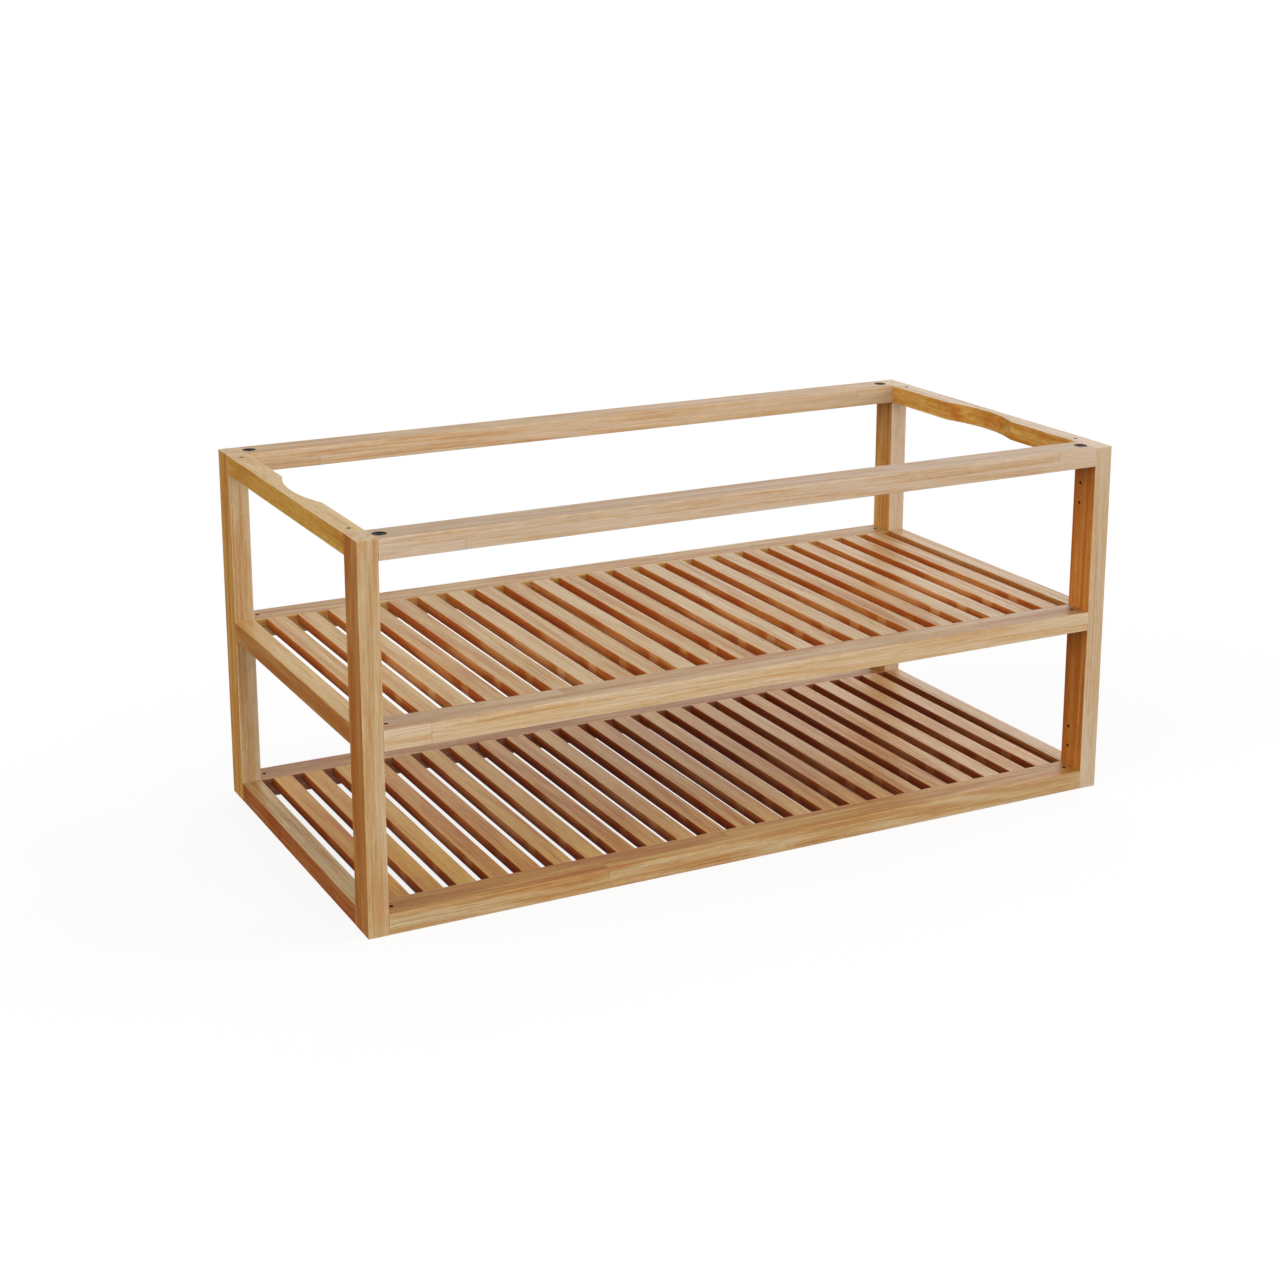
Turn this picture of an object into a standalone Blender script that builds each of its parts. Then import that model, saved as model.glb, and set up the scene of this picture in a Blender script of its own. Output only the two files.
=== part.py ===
"""Open slatted bench frame in oiled wood.

Four corner posts carry a ring of top rails and two slatted shelves. The long rails butt between
the posts at the front and back, the side rails butt between them at the ends, and the slats run
front to back, tenoned into the long shelf rails with their tops flush.

Frame: +X to the right, +Y to the back, +Z up. The origin is on the floor, below the middle.
"""

import math

import bmesh
import bpy
from mathutils import Matrix, Vector

# Overall size
LENGTH = 1.0000              # X, over the posts
DEPTH = 0.4955               # Y, over the posts
HEIGHT = 0.4524              # Z, floor to the top of the rails

# Timber sections
POST_WIDTH = 0.0246          # along X; the side rails between the posts are as wide
POST_DEPTH = 0.0406          # along Y
LONG_RAIL_DEPTH = 0.0412     # along Y
RAIL_HEIGHT = 0.0243         # every rail
SLAT_WIDTH = 0.0246
SLAT_THICKNESS = 0.0129
SLATS_PER_SHELF = 23
EDGE_CHAMFER = 0.0008        # long edges of every timber

# Fits
JOINT_GAP = 0.0003           # between touching pieces, and around a pin in its hole

# Hand grips, an arc cut into the inner face of each top side rail
GRIP_LENGTH = 0.1420         # chord
GRIP_DEPTH = 0.0129
GRIP_STEPS = 20

# Slat tenons
SLAT_TENON_LENGTH = 0.0060
SLAT_TENON_THICKNESS = 0.0060
SLAT_TENON_SHOULDER = 0.0030  # each side
SPLINE_BITE = 0.0002          # how far the lower splines enter the ends of the slats

# Shelf side rail tenons, in the posts
SIDE_TENON_END_WALL = 0.0070  # wood left between a tenon and the long rail's rod
SIDE_TENON_WIDTH = 0.0120
SIDE_TENON_HEIGHT = 0.0120

# Lock bolts: a rod across the joint, held by a set screw from above
LOCK_ROD_DIAMETER = 0.0060
SHELF_ROD_IN_POST = 0.0120
SIDE_ROD_END_WALL = 0.0050    # wood left between a top side rail's rod and the cam bolt
LOCK_ROD_PAST_SCREW = 0.0060
LOCK_SCREW_DIAMETER = 0.0039
LOCK_SCREW_RECESS = 0.0020    # top of the screw below the wood
LOCK_SETBACK_SIDE = 0.0164    # joint to set screw, top side rails
LOCK_SETBACK_SHELF = 0.0102   # joint to set screw, long shelf rails

# Cam locks in the long top rails
CAM_DIAMETER = 0.0154
CAM_END_WALL = 0.0005         # wood left between the cam's bore and the joint
CAM_TOP_RECESS = 0.0003
CAM_BELOW_BOLT = 0.0050       # cam body below the bolt's axis
CAM_HEAD_ROOM = 0.0010        # around the bolt's head in the cam, seen from above
CAM_HEAD_PLAY = 0.0005        # above and below the head
CAM_NECK_PLAY = 0.0006        # on each side of the bolt's neck
CAM_CROSS_LENGTH = 0.0092
CAM_CROSS_WIDTH = 0.0018
CAM_CROSS_DEPTH = 0.0020

# Bolts that the cams pull on
CAM_BOLT_THREAD_DIAMETER = 0.0060
CAM_BOLT_IN_POST = 0.0130
CAM_BOLT_NECK_DIAMETER = 0.0040
CAM_BOLT_HEAD_DIAMETER = 0.0064
CAM_BOLT_HEAD_LENGTH = 0.0030

# Spare holes in the inner faces of the front posts, two near each end
SPARE_HOLE_DIAMETER = 0.0035
SPARE_HOLE_DEPTH = 0.0100
SPARE_HOLE_FROM_FRONT = 0.0283
SPARE_HOLE_FROM_END = 0.0505
SPARE_HOLE_PITCH = 0.0260

# Facets of the round pieces and holes, and the angle up to which faces are shaded smooth
ROUND_SIDES = 12
CAM_SIDES = 24
SMOOTH_BELOW = math.radians(35)

# Overshoot of a cutter past the face it opens
CUT_PAST = 0.0010

# Levels of the rail tops
LOWER_TOP = RAIL_HEIGHT
MIDDLE_TOP = (HEIGHT + RAIL_HEIGHT) / 2     # shelf centred at half the height

# Joint planes, measured from the middle of the bench
POST_INNER_X = LENGTH / 2 - POST_WIDTH
POST_INNER_Y = DEPTH / 2 - POST_DEPTH
RAIL_MIDDLE_Y = DEPTH / 2 - LONG_RAIL_DEPTH / 2
RAIL_INNER_Y = DEPTH / 2 - LONG_RAIL_DEPTH
SIDE_MIDDLE_X = LENGTH / 2 - POST_WIDTH / 2

# The rod and the tenon of a side rail stop short of what crosses the post at the long rail's middle
CROSSING_FROM_JOINT = RAIL_MIDDLE_Y - POST_INNER_Y
SIDE_ROD_IN_POST = CROSSING_FROM_JOINT - CAM_BOLT_THREAD_DIAMETER / 2 - SIDE_ROD_END_WALL
SIDE_TENON_LENGTH = CROSSING_FROM_JOINT - LOCK_ROD_DIAMETER / 2 - SIDE_TENON_END_WALL

# From the post to the cam's centre: the rail starts a gap from the post, and its bore is a gap wider
CAM_SETBACK = CAM_DIAMETER / 2 + 2 * JOINT_GAP + CAM_END_WALL

# The hollow in the cam, around the bolt's head and neck
CAM_CAVITY_DIAMETER = CAM_BOLT_HEAD_DIAMETER + 2 * CAM_HEAD_ROOM
CAM_CAVITY_HEIGHT = CAM_BOLT_HEAD_DIAMETER + 2 * CAM_HEAD_PLAY
CAM_NECK_SLOT = CAM_BOLT_NECK_DIAMETER + 2 * CAM_NECK_PLAY

SIDES = (("left", -1), ("right", 1))
ENDS = (("front", -1), ("back", 1))


# ---------------------------------------------------------------- materials

def make_material(name, colour, roughness, metallic=0.0):
    material = bpy.data.materials.new(name)
    material.use_nodes = True
    shader = material.node_tree.nodes["Principled BSDF"]
    shader.inputs["Base Color"].default_value = (*colour, 1.0)
    shader.inputs["Roughness"].default_value = roughness
    shader.inputs["Metallic"].default_value = metallic
    return material


def make_materials():
    return {
        "post": make_material("post_wood", (0.50, 0.32, 0.18), 0.45),
        "top_rail": make_material("top_rail_wood", (0.56, 0.38, 0.22), 0.45),
        "shelf_rail": make_material("shelf_rail_wood", (0.48, 0.31, 0.18), 0.45),
        "slat": make_material("slat_wood", (0.58, 0.42, 0.24), 0.45),
        "cam": make_material("cam_zinc", (0.30, 0.30, 0.33), 0.30, 1.0),
        "bolt": make_material("bolt_steel", (0.42, 0.42, 0.44), 0.35, 1.0),
    }


# ---------------------------------------------------------------- mesh tools

def add_object(name, mesh_data, material=None):
    bmesh.ops.recalc_face_normals(mesh_data, faces=mesh_data.faces)
    mesh = bpy.data.meshes.new(name)
    mesh_data.to_mesh(mesh)
    mesh_data.free()
    if material:
        mesh.materials.append(material)
    mesh.shade_smooth()
    mesh.set_sharp_from_angle(angle=SMOOTH_BELOW)
    shape = bpy.data.objects.new(name, mesh)
    bpy.context.collection.objects.link(shape)
    return shape


def add_helper(name, mesh_data):
    """A solid that only cuts or joins another one."""
    helper = add_object(name, mesh_data)
    helper.hide_render = True
    helper.display_type = "WIRE"
    return helper


def combine(target, helper, operation):
    step = target.modifiers.new(helper.name, "BOOLEAN")
    step.operation = operation
    step.solver = "EXACT"
    step.object = helper


def extrude_outline(mesh_data, outline, z_low, z_high):
    """Close a plan outline into a prism."""
    low = [mesh_data.verts.new((x, y, z_low)) for x, y in outline]
    high = [mesh_data.verts.new((x, y, z_high)) for x, y in outline]
    mesh_data.faces.new(low[::-1])
    mesh_data.faces.new(high)
    count = len(outline)
    for i in range(count):
        j = (i + 1) % count
        mesh_data.faces.new((low[i], low[j], high[j], high[i]))


def add_box(mesh_data, low, high):
    outline = ((low[0], low[1]), (high[0], low[1]), (high[0], high[1]), (low[0], high[1]))
    extrude_outline(mesh_data, outline, low[2], high[2])


def add_block(mesh_data, middle, size):
    low = [middle[i] - size[i] / 2 for i in range(3)]
    high = [middle[i] + size[i] / 2 for i in range(3)]
    add_box(mesh_data, low, high)


def add_rod(mesh_data, start, end, diameter, sides=ROUND_SIDES):
    start = Vector(start)
    end = Vector(end)
    turn = (end - start).to_track_quat("Z", "Y").to_matrix().to_4x4()
    place = Matrix.Translation((start + end) / 2) @ turn
    bmesh.ops.create_cone(
        mesh_data, cap_ends=True, segments=sides, radius1=diameter / 2, radius2=diameter / 2,
        depth=(end - start).length, matrix=place)


def chamfer_long_edges(mesh_data, axis):
    """Break the edges that run along one axis."""
    def runs_along(edge):
        line = edge.verts[1].co - edge.verts[0].co
        return abs(line[axis]) > 0.999 * line.length
    edges = [edge for edge in mesh_data.edges if runs_along(edge)]
    bmesh.ops.bevel(mesh_data, geom=edges, offset=EDGE_CHAMFER, segments=1, affect="EDGES")


def timber(name, middle, size, axis, material):
    """A straight piece of wood whose grain runs along the given axis."""
    mesh_data = bmesh.new()
    add_block(mesh_data, middle, size)
    chamfer_long_edges(mesh_data, axis)
    return add_object(name, mesh_data, material)


# ---------------------------------------------------------------- places that repeat

def slat_positions():
    """X of each slat's middle: the slats share the room between the side rails evenly."""
    room = 2 * POST_INNER_X
    space = (room - SLATS_PER_SHELF * SLAT_WIDTH) / (SLATS_PER_SHELF + 1)
    first = -room / 2 + space + SLAT_WIDTH / 2
    return [first + i * (space + SLAT_WIDTH) for i in range(SLATS_PER_SHELF)]


def rail_middle_z(rail_top):
    return rail_top - RAIL_HEIGHT / 2


def tenon_middle_z(shelf_top):
    return shelf_top - SLAT_THICKNESS / 2


# ---------------------------------------------------------------- posts

def cut_post_mortises(post, x_side, y_side):
    mesh_data = bmesh.new()
    depth = SIDE_TENON_LENGTH + CUT_PAST
    size = (SIDE_TENON_WIDTH + 2 * JOINT_GAP, depth, SIDE_TENON_HEIGHT + 2 * JOINT_GAP)
    y = y_side * (POST_INNER_Y - CUT_PAST + depth / 2)
    for shelf_top in (LOWER_TOP, MIDDLE_TOP):
        add_block(mesh_data, (x_side * SIDE_MIDDLE_X, y, rail_middle_z(shelf_top)), size)
    combine(post, add_helper(post.name + "_mortises", mesh_data), "DIFFERENCE")


def cut_post_bores(post, x_side, y_side):
    mesh_data = bmesh.new()

    def bore_along_x(z, diameter, depth):
        mouth = (x_side * (POST_INNER_X - CUT_PAST), y_side * RAIL_MIDDLE_Y, z)
        bottom = (x_side * (POST_INNER_X + depth + JOINT_GAP), y_side * RAIL_MIDDLE_Y, z)
        add_rod(mesh_data, mouth, bottom, diameter + 2 * JOINT_GAP)

    for shelf_top in (LOWER_TOP, MIDDLE_TOP):
        bore_along_x(rail_middle_z(shelf_top), LOCK_ROD_DIAMETER, SHELF_ROD_IN_POST)
    bore_along_x(rail_middle_z(HEIGHT), CAM_BOLT_THREAD_DIAMETER, CAM_BOLT_IN_POST)

    x = x_side * SIDE_MIDDLE_X
    z = rail_middle_z(HEIGHT)
    mouth = (x, y_side * (POST_INNER_Y - CUT_PAST), z)
    bottom = (x, y_side * (POST_INNER_Y + SIDE_ROD_IN_POST + JOINT_GAP), z)
    add_rod(mesh_data, mouth, bottom, LOCK_ROD_DIAMETER + 2 * JOINT_GAP)
    combine(post, add_helper(post.name + "_bores", mesh_data), "DIFFERENCE")


def cut_spare_holes(post, x_side):
    mesh_data = bmesh.new()
    y = -DEPTH / 2 + SPARE_HOLE_FROM_FRONT
    near = SPARE_HOLE_FROM_END
    far = SPARE_HOLE_FROM_END + SPARE_HOLE_PITCH
    for z in (near, far, HEIGHT - far, HEIGHT - near):
        mouth = (x_side * (POST_INNER_X - CUT_PAST), y, z)
        bottom = (x_side * (POST_INNER_X + SPARE_HOLE_DEPTH), y, z)
        add_rod(mesh_data, mouth, bottom, SPARE_HOLE_DIAMETER)
    combine(post, add_helper(post.name + "_spare_holes", mesh_data), "DIFFERENCE")


def build_posts(material):
    size = (POST_WIDTH, POST_DEPTH, HEIGHT)
    for x_name, x_side in SIDES:
        for y_name, y_side in ENDS:
            x = x_side * (LENGTH - POST_WIDTH) / 2
            y = y_side * (DEPTH - POST_DEPTH) / 2
            post = timber(f"post_{y_name}_{x_name}", (x, y, HEIGHT / 2), size, 2, material)
            cut_post_mortises(post, x_side, y_side)
            cut_post_bores(post, x_side, y_side)
            if y_name == "front":
                cut_spare_holes(post, x_side)


# ---------------------------------------------------------------- long rails

def long_rail(name, y_side, rail_top, material):
    middle = (0.0, y_side * RAIL_MIDDLE_Y, rail_middle_z(rail_top))
    size = (2 * (POST_INNER_X - JOINT_GAP), LONG_RAIL_DEPTH, RAIL_HEIGHT)
    return timber(name, middle, size, 0, material)


def cut_cam_seats(rail, y_side):
    bores = bmesh.new()
    passages = bmesh.new()
    y = y_side * RAIL_MIDDLE_Y
    z = rail_middle_z(HEIGHT)
    for _, x_side in SIDES:
        x = x_side * (POST_INNER_X - CAM_SETBACK)
        bottom = (x, y, z - CAM_BELOW_BOLT - JOINT_GAP)
        add_rod(bores, (x, y, HEIGHT + CUT_PAST), bottom, CAM_DIAMETER + 2 * JOINT_GAP, CAM_SIDES)
        mouth = (x_side * (POST_INNER_X + CUT_PAST), y, z)
        add_rod(passages, mouth, (x, y, z), CAM_BOLT_HEAD_DIAMETER + 2 * JOINT_GAP)
    combine(rail, add_helper(rail.name + "_cam_bores", bores), "DIFFERENCE")
    combine(rail, add_helper(rail.name + "_bolt_passages", passages), "DIFFERENCE")


def build_top_long_rails(material):
    for y_name, y_side in ENDS:
        rail = long_rail(f"top_rail_{y_name}", y_side, HEIGHT, material)
        cut_cam_seats(rail, y_side)


def cut_lock_seats(rail, joint, inward, setback, rail_top):
    """Bore a rail's end for a lock rod, and its top for the set screw.

    joint is a point on the post's face at the rod's axis; inward is the unit vector into the rail.
    """
    rod = bmesh.new()
    screw = bmesh.new()
    rod_end = joint + inward * (setback + LOCK_ROD_PAST_SCREW + JOINT_GAP)
    add_rod(rod, joint - inward * CUT_PAST, rod_end, LOCK_ROD_DIAMETER + 2 * JOINT_GAP)
    foot = joint + inward * setback
    mouth = Vector((foot.x, foot.y, rail_top + CUT_PAST))
    add_rod(screw, mouth, foot, LOCK_SCREW_DIAMETER + 2 * JOINT_GAP)
    tag = "_".join((rail.name, "plus" if sum(inward) > 0 else "minus"))
    combine(rail, add_helper(tag + "_rod_bore", rod), "DIFFERENCE")
    combine(rail, add_helper(tag + "_screw_hole", screw), "DIFFERENCE")


def shelf_joint(x_side, y_side, shelf_top):
    joint = Vector((x_side * POST_INNER_X, y_side * RAIL_MIDDLE_Y, rail_middle_z(shelf_top)))
    return joint, Vector((-x_side, 0.0, 0.0))


def cut_slat_mortises(rail, y_side, shelf_top):
    mesh_data = bmesh.new()
    depth = SLAT_TENON_LENGTH + CUT_PAST
    width = SLAT_WIDTH - 2 * SLAT_TENON_SHOULDER + 2 * JOINT_GAP
    y = y_side * (RAIL_INNER_Y - CUT_PAST + depth / 2)
    size = (width, depth, SLAT_TENON_THICKNESS + 2 * JOINT_GAP)
    for x in slat_positions():
        add_block(mesh_data, (x, y, tenon_middle_z(shelf_top)), size)
    combine(rail, add_helper(rail.name + "_mortises", mesh_data), "DIFFERENCE")


def cut_spline_groove(rail, y_side, shelf_top):
    mesh_data = bmesh.new()
    depth = SLAT_TENON_LENGTH + CUT_PAST
    y = y_side * (RAIL_INNER_Y - CUT_PAST + depth / 2)
    size = (spline_length() + 2 * JOINT_GAP, depth, SLAT_TENON_THICKNESS + 2 * JOINT_GAP)
    add_block(mesh_data, (0.0, y, tenon_middle_z(shelf_top)), size)
    combine(rail, add_helper(rail.name + "_groove", mesh_data), "DIFFERENCE")


def build_shelf_long_rails(shelf, shelf_top, cut_seats, material):
    for y_name, y_side in ENDS:
        rail = long_rail(f"{shelf}_shelf_rail_{y_name}", y_side, shelf_top, material)
        cut_seats(rail, y_side, shelf_top)
        for _, x_side in SIDES:
            joint, inward = shelf_joint(x_side, y_side, shelf_top)
            cut_lock_seats(rail, joint, inward, LOCK_SETBACK_SHELF, shelf_top)


# ---------------------------------------------------------------- side rails

def grip_outline(x_side):
    """Plan of a top side rail: a straight bar with an arc cut into its inner face."""
    outer = x_side * LENGTH / 2
    inner = x_side * POST_INNER_X
    end = POST_INNER_Y - JOINT_GAP
    half = GRIP_LENGTH / 2
    radius = (half * half + GRIP_DEPTH * GRIP_DEPTH) / (2 * GRIP_DEPTH)
    sweep = math.asin(half / radius)
    points = [(outer, -end), (outer, end), (inner, end)]
    for i in range(GRIP_STEPS + 1):
        angle = sweep * (1 - 2 * i / GRIP_STEPS)
        cut = radius * math.cos(angle) - (radius - GRIP_DEPTH)
        points.append((inner + x_side * cut, radius * math.sin(angle)))
    points.append((inner, -end))
    return points


def top_side_joint(x_side, y_side):
    joint = Vector((x_side * SIDE_MIDDLE_X, y_side * POST_INNER_Y, rail_middle_z(HEIGHT)))
    return joint, Vector((0.0, -y_side, 0.0))


def build_top_side_rails(material):
    for x_name, x_side in SIDES:
        mesh_data = bmesh.new()
        extrude_outline(mesh_data, grip_outline(x_side), HEIGHT - RAIL_HEIGHT, HEIGHT)
        rail = add_object(f"top_rail_{x_name}", mesh_data, material)
        for _, y_side in ENDS:
            joint, inward = top_side_joint(x_side, y_side)
            cut_lock_seats(rail, joint, inward, LOCK_SETBACK_SIDE, HEIGHT)


def build_shelf_side_rails(shelf, shelf_top, material):
    length = 2 * (POST_INNER_Y - JOINT_GAP)
    tenoned = 2 * (POST_INNER_Y + SIDE_TENON_LENGTH - JOINT_GAP)
    for x_name, x_side in SIDES:
        middle = (x_side * SIDE_MIDDLE_X, 0.0, rail_middle_z(shelf_top))
        size = (POST_WIDTH, length, RAIL_HEIGHT)
        rail = timber(f"{shelf}_shelf_rail_{x_name}", middle, size, 1, material)
        tenons = bmesh.new()
        add_block(tenons, middle, (SIDE_TENON_WIDTH, tenoned, SIDE_TENON_HEIGHT))
        combine(rail, add_helper(rail.name + "_tenons", tenons), "UNION")


# ---------------------------------------------------------------- slats

def slat_length():
    return 2 * (RAIL_INNER_Y - JOINT_GAP)


def spline_length():
    """The splines reach the outer edges of the first and last tenons."""
    places = slat_positions()
    return places[-1] - places[0] + SLAT_WIDTH - 2 * SLAT_TENON_SHOULDER


def build_middle_slats(material):
    size = (SLAT_WIDTH, slat_length(), SLAT_THICKNESS)
    tenoned = 2 * (RAIL_INNER_Y + SLAT_TENON_LENGTH - JOINT_GAP)
    tenon_width = SLAT_WIDTH - 2 * SLAT_TENON_SHOULDER
    for i, x in enumerate(slat_positions()):
        middle = (x, 0.0, tenon_middle_z(MIDDLE_TOP))
        slat = timber(f"middle_slat_{i + 1:02d}", middle, size, 1, material)
        tenons = bmesh.new()
        add_block(tenons, middle, (tenon_width, tenoned, SLAT_TENON_THICKNESS))
        combine(slat, add_helper(slat.name + "_tenons", tenons), "UNION")


def build_lower_slat_grid(material):
    """The lower slats as one piece, joined by a spline at each end in the rails' grooves."""
    z = tenon_middle_z(LOWER_TOP)
    slats = bmesh.new()
    for x in slat_positions():
        add_block(slats, (x, 0.0, z), (SLAT_WIDTH, slat_length(), SLAT_THICKNESS))
    chamfer_long_edges(slats, 1)
    grid = add_object("lower_slat_grid", slats, material)
    splines = bmesh.new()
    inner = slat_length() / 2 - SPLINE_BITE
    outer = RAIL_INNER_Y + SLAT_TENON_LENGTH - JOINT_GAP
    size = (spline_length(), outer - inner, SLAT_TENON_THICKNESS)
    for _, y_side in ENDS:
        add_block(splines, (0.0, y_side * (inner + outer) / 2, z), size)
    combine(grid, add_helper("lower_slat_splines", splines), "UNION")


# ---------------------------------------------------------------- cam locks

def cross_outline(x, y):
    """A plus sign in plan."""
    arm = CAM_CROSS_LENGTH / 2
    half = CAM_CROSS_WIDTH / 2
    quarter = ((arm, -half), (arm, half), (half, half))
    points = []
    for turn in range(4):
        spin = Matrix.Rotation(turn * math.pi / 2, 2)
        points += [(x + (spin @ Vector(p)).x, y + (spin @ Vector(p)).y) for p in quarter]
    return points


def build_cam_lock(tag, x_side, y_side, material):
    x = x_side * (POST_INNER_X - CAM_SETBACK)
    y = y_side * RAIL_MIDDLE_Y
    z = rail_middle_z(HEIGHT)
    top = HEIGHT - CAM_TOP_RECESS
    half_cavity = CAM_CAVITY_HEIGHT / 2

    body = bmesh.new()
    add_rod(body, (x, y, top), (x, y, z - CAM_BELOW_BOLT), CAM_DIAMETER, CAM_SIDES)
    cam = add_object(f"cam_lock_{tag}", body, material)

    cross = bmesh.new()
    extrude_outline(cross, cross_outline(x, y), top - CAM_CROSS_DEPTH, top + CUT_PAST)
    combine(cam, add_helper(cam.name + "_cross", cross), "DIFFERENCE")

    cavity = bmesh.new()
    add_rod(cavity, (x, y, z + half_cavity), (x, y, z - half_cavity), CAM_CAVITY_DIAMETER)
    combine(cam, add_helper(cam.name + "_cavity", cavity), "DIFFERENCE")

    neck = bmesh.new()
    reach = CAM_DIAMETER / 2 + CUT_PAST
    middle = (x + x_side * reach / 2, y, z)
    add_block(neck, middle, (reach, CAM_NECK_SLOT, CAM_CAVITY_HEIGHT))
    combine(cam, add_helper(cam.name + "_neck_slot", neck), "DIFFERENCE")


def cam_bolt_head_start():
    """From the joint to the bolt's head, which bears on the wall of the cam's cavity."""
    flat_radius = CAM_CAVITY_DIAMETER / 2 * math.cos(math.pi / ROUND_SIDES)
    seat = math.sqrt(flat_radius ** 2 - (CAM_BOLT_HEAD_DIAMETER / 2) ** 2)
    return CAM_SETBACK - seat + JOINT_GAP


def build_cam_bolt(tag, x_side, y_side, material):
    """A turned bolt: thread in the post, neck across the joint, head inside the cam."""
    head_start = cam_bolt_head_start()
    head_end = head_start + CAM_BOLT_HEAD_LENGTH
    steps = (
        (-CAM_BOLT_IN_POST, CAM_BOLT_THREAD_DIAMETER),
        (-JOINT_GAP, CAM_BOLT_THREAD_DIAMETER),
        (-JOINT_GAP, CAM_BOLT_NECK_DIAMETER),
        (head_start, CAM_BOLT_NECK_DIAMETER),
        (head_start, CAM_BOLT_HEAD_DIAMETER),
        (head_end, CAM_BOLT_HEAD_DIAMETER),
    )
    mesh_data = bmesh.new()
    rings = []
    for along, diameter in steps:
        x = x_side * (POST_INNER_X - along)
        ring = []
        for i in range(ROUND_SIDES):
            angle = 2 * math.pi * i / ROUND_SIDES
            y = y_side * RAIL_MIDDLE_Y + diameter / 2 * math.cos(angle)
            z = rail_middle_z(HEIGHT) + diameter / 2 * math.sin(angle)
            ring.append(mesh_data.verts.new((x, y, z)))
        rings.append(ring)
    for near, far in zip(rings, rings[1:]):
        for i in range(ROUND_SIDES):
            j = (i + 1) % ROUND_SIDES
            mesh_data.faces.new((near[i], near[j], far[j], far[i]))
    mesh_data.faces.new(rings[0])
    mesh_data.faces.new(rings[-1])
    add_object(f"cam_bolt_{tag}", mesh_data, material)


def build_cam_fittings(materials):
    for x_name, x_side in SIDES:
        for y_name, y_side in ENDS:
            tag = f"{y_name}_{x_name}"
            build_cam_lock(tag, x_side, y_side, materials["cam"])
            build_cam_bolt(tag, x_side, y_side, materials["bolt"])


# ---------------------------------------------------------------- lock bolts

def build_lock_bolt(tag, joint, inward, in_post, setback, rail_top, material):
    """A rod in the post and the rail, with its set screw standing up from it."""
    rod = bmesh.new()
    start = joint - inward * in_post
    add_rod(rod, start, joint + inward * (setback + LOCK_ROD_PAST_SCREW), LOCK_ROD_DIAMETER)
    bolt = add_object(f"lock_bolt_{tag}", rod, material)
    screw = bmesh.new()
    foot = joint + inward * setback
    top = Vector((foot.x, foot.y, rail_top - LOCK_SCREW_RECESS))
    add_rod(screw, foot, top, LOCK_SCREW_DIAMETER)
    combine(bolt, add_helper(bolt.name + "_screw", screw), "UNION")


def build_lock_bolts(material):
    for x_name, x_side in SIDES:
        for y_name, y_side in ENDS:
            corner = f"{y_name}_{x_name}"
            joint, inward = top_side_joint(x_side, y_side)
            fit = (SIDE_ROD_IN_POST, LOCK_SETBACK_SIDE, HEIGHT)
            build_lock_bolt(f"top_{corner}", joint, inward, *fit, material)
            for shelf, shelf_top in (("middle", MIDDLE_TOP), ("lower", LOWER_TOP)):
                joint, inward = shelf_joint(x_side, y_side, shelf_top)
                fit = (SHELF_ROD_IN_POST, LOCK_SETBACK_SHELF, shelf_top)
                build_lock_bolt(f"{shelf}_{corner}", joint, inward, *fit, material)


# ---------------------------------------------------------------- bench

def build_bench():
    for old in list(bpy.data.objects):
        bpy.data.objects.remove(old, do_unlink=True)
    materials = make_materials()
    build_posts(materials["post"])
    build_top_long_rails(materials["top_rail"])
    build_top_side_rails(materials["top_rail"])
    shelf_rail = materials["shelf_rail"]
    build_shelf_long_rails("middle", MIDDLE_TOP, cut_slat_mortises, shelf_rail)
    build_shelf_long_rails("lower", LOWER_TOP, cut_spline_groove, shelf_rail)
    build_shelf_side_rails("middle", MIDDLE_TOP, shelf_rail)
    build_shelf_side_rails("lower", LOWER_TOP, shelf_rail)
    build_middle_slats(materials["slat"])
    build_lower_slat_grid(materials["slat"])
    build_cam_fittings(materials)
    build_lock_bolts(materials["bolt"])


build_bench()
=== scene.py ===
"""Looks of an open slatted bench frame in oiled wood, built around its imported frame.

Every timber is rebuilt as its own rounded, bored and mortised piece, at the place of the node that
it stands for. Its mesh lies in the timber's own axes: X along the grain, Y and Z across it.
"""

import math
import random

import bmesh
import bpy
from mathutils import Matrix, Vector


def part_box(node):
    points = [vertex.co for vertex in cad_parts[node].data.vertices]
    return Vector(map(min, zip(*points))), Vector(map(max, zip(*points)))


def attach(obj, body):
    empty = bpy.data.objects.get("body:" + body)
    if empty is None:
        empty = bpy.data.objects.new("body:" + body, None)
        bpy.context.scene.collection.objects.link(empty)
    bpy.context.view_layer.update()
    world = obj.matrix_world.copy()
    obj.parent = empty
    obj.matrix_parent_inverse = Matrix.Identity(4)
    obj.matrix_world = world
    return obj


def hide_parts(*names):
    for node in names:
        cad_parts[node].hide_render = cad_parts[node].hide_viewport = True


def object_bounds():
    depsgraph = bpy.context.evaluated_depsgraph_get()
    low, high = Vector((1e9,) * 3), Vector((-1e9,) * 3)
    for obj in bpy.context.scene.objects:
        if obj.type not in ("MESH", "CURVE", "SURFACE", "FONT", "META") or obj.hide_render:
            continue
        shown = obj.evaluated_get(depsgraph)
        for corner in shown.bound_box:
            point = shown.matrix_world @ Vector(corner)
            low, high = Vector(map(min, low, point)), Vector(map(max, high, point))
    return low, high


# Gap between touching pieces, and around a pin in its hole
GAP = 0.0003

# Rounded edges
EDGE_RADIUS = 0.0010
EDGE_STEPS = 5
END_STEPS = 2
END_RADIUS = 0.00015          # where an end butts against another piece
SQUARE_CORNER = math.radians(45)  # edges that meet more sharply than this are rounded
TIGHT = 0.00025               # how far an end reaches into the gap that the CAD leaves
FREE_END_RADIUS = 0.0004      # posts, top and bottom
HOLE_FLARE = 0.0004           # softened mouth of a hole

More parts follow.
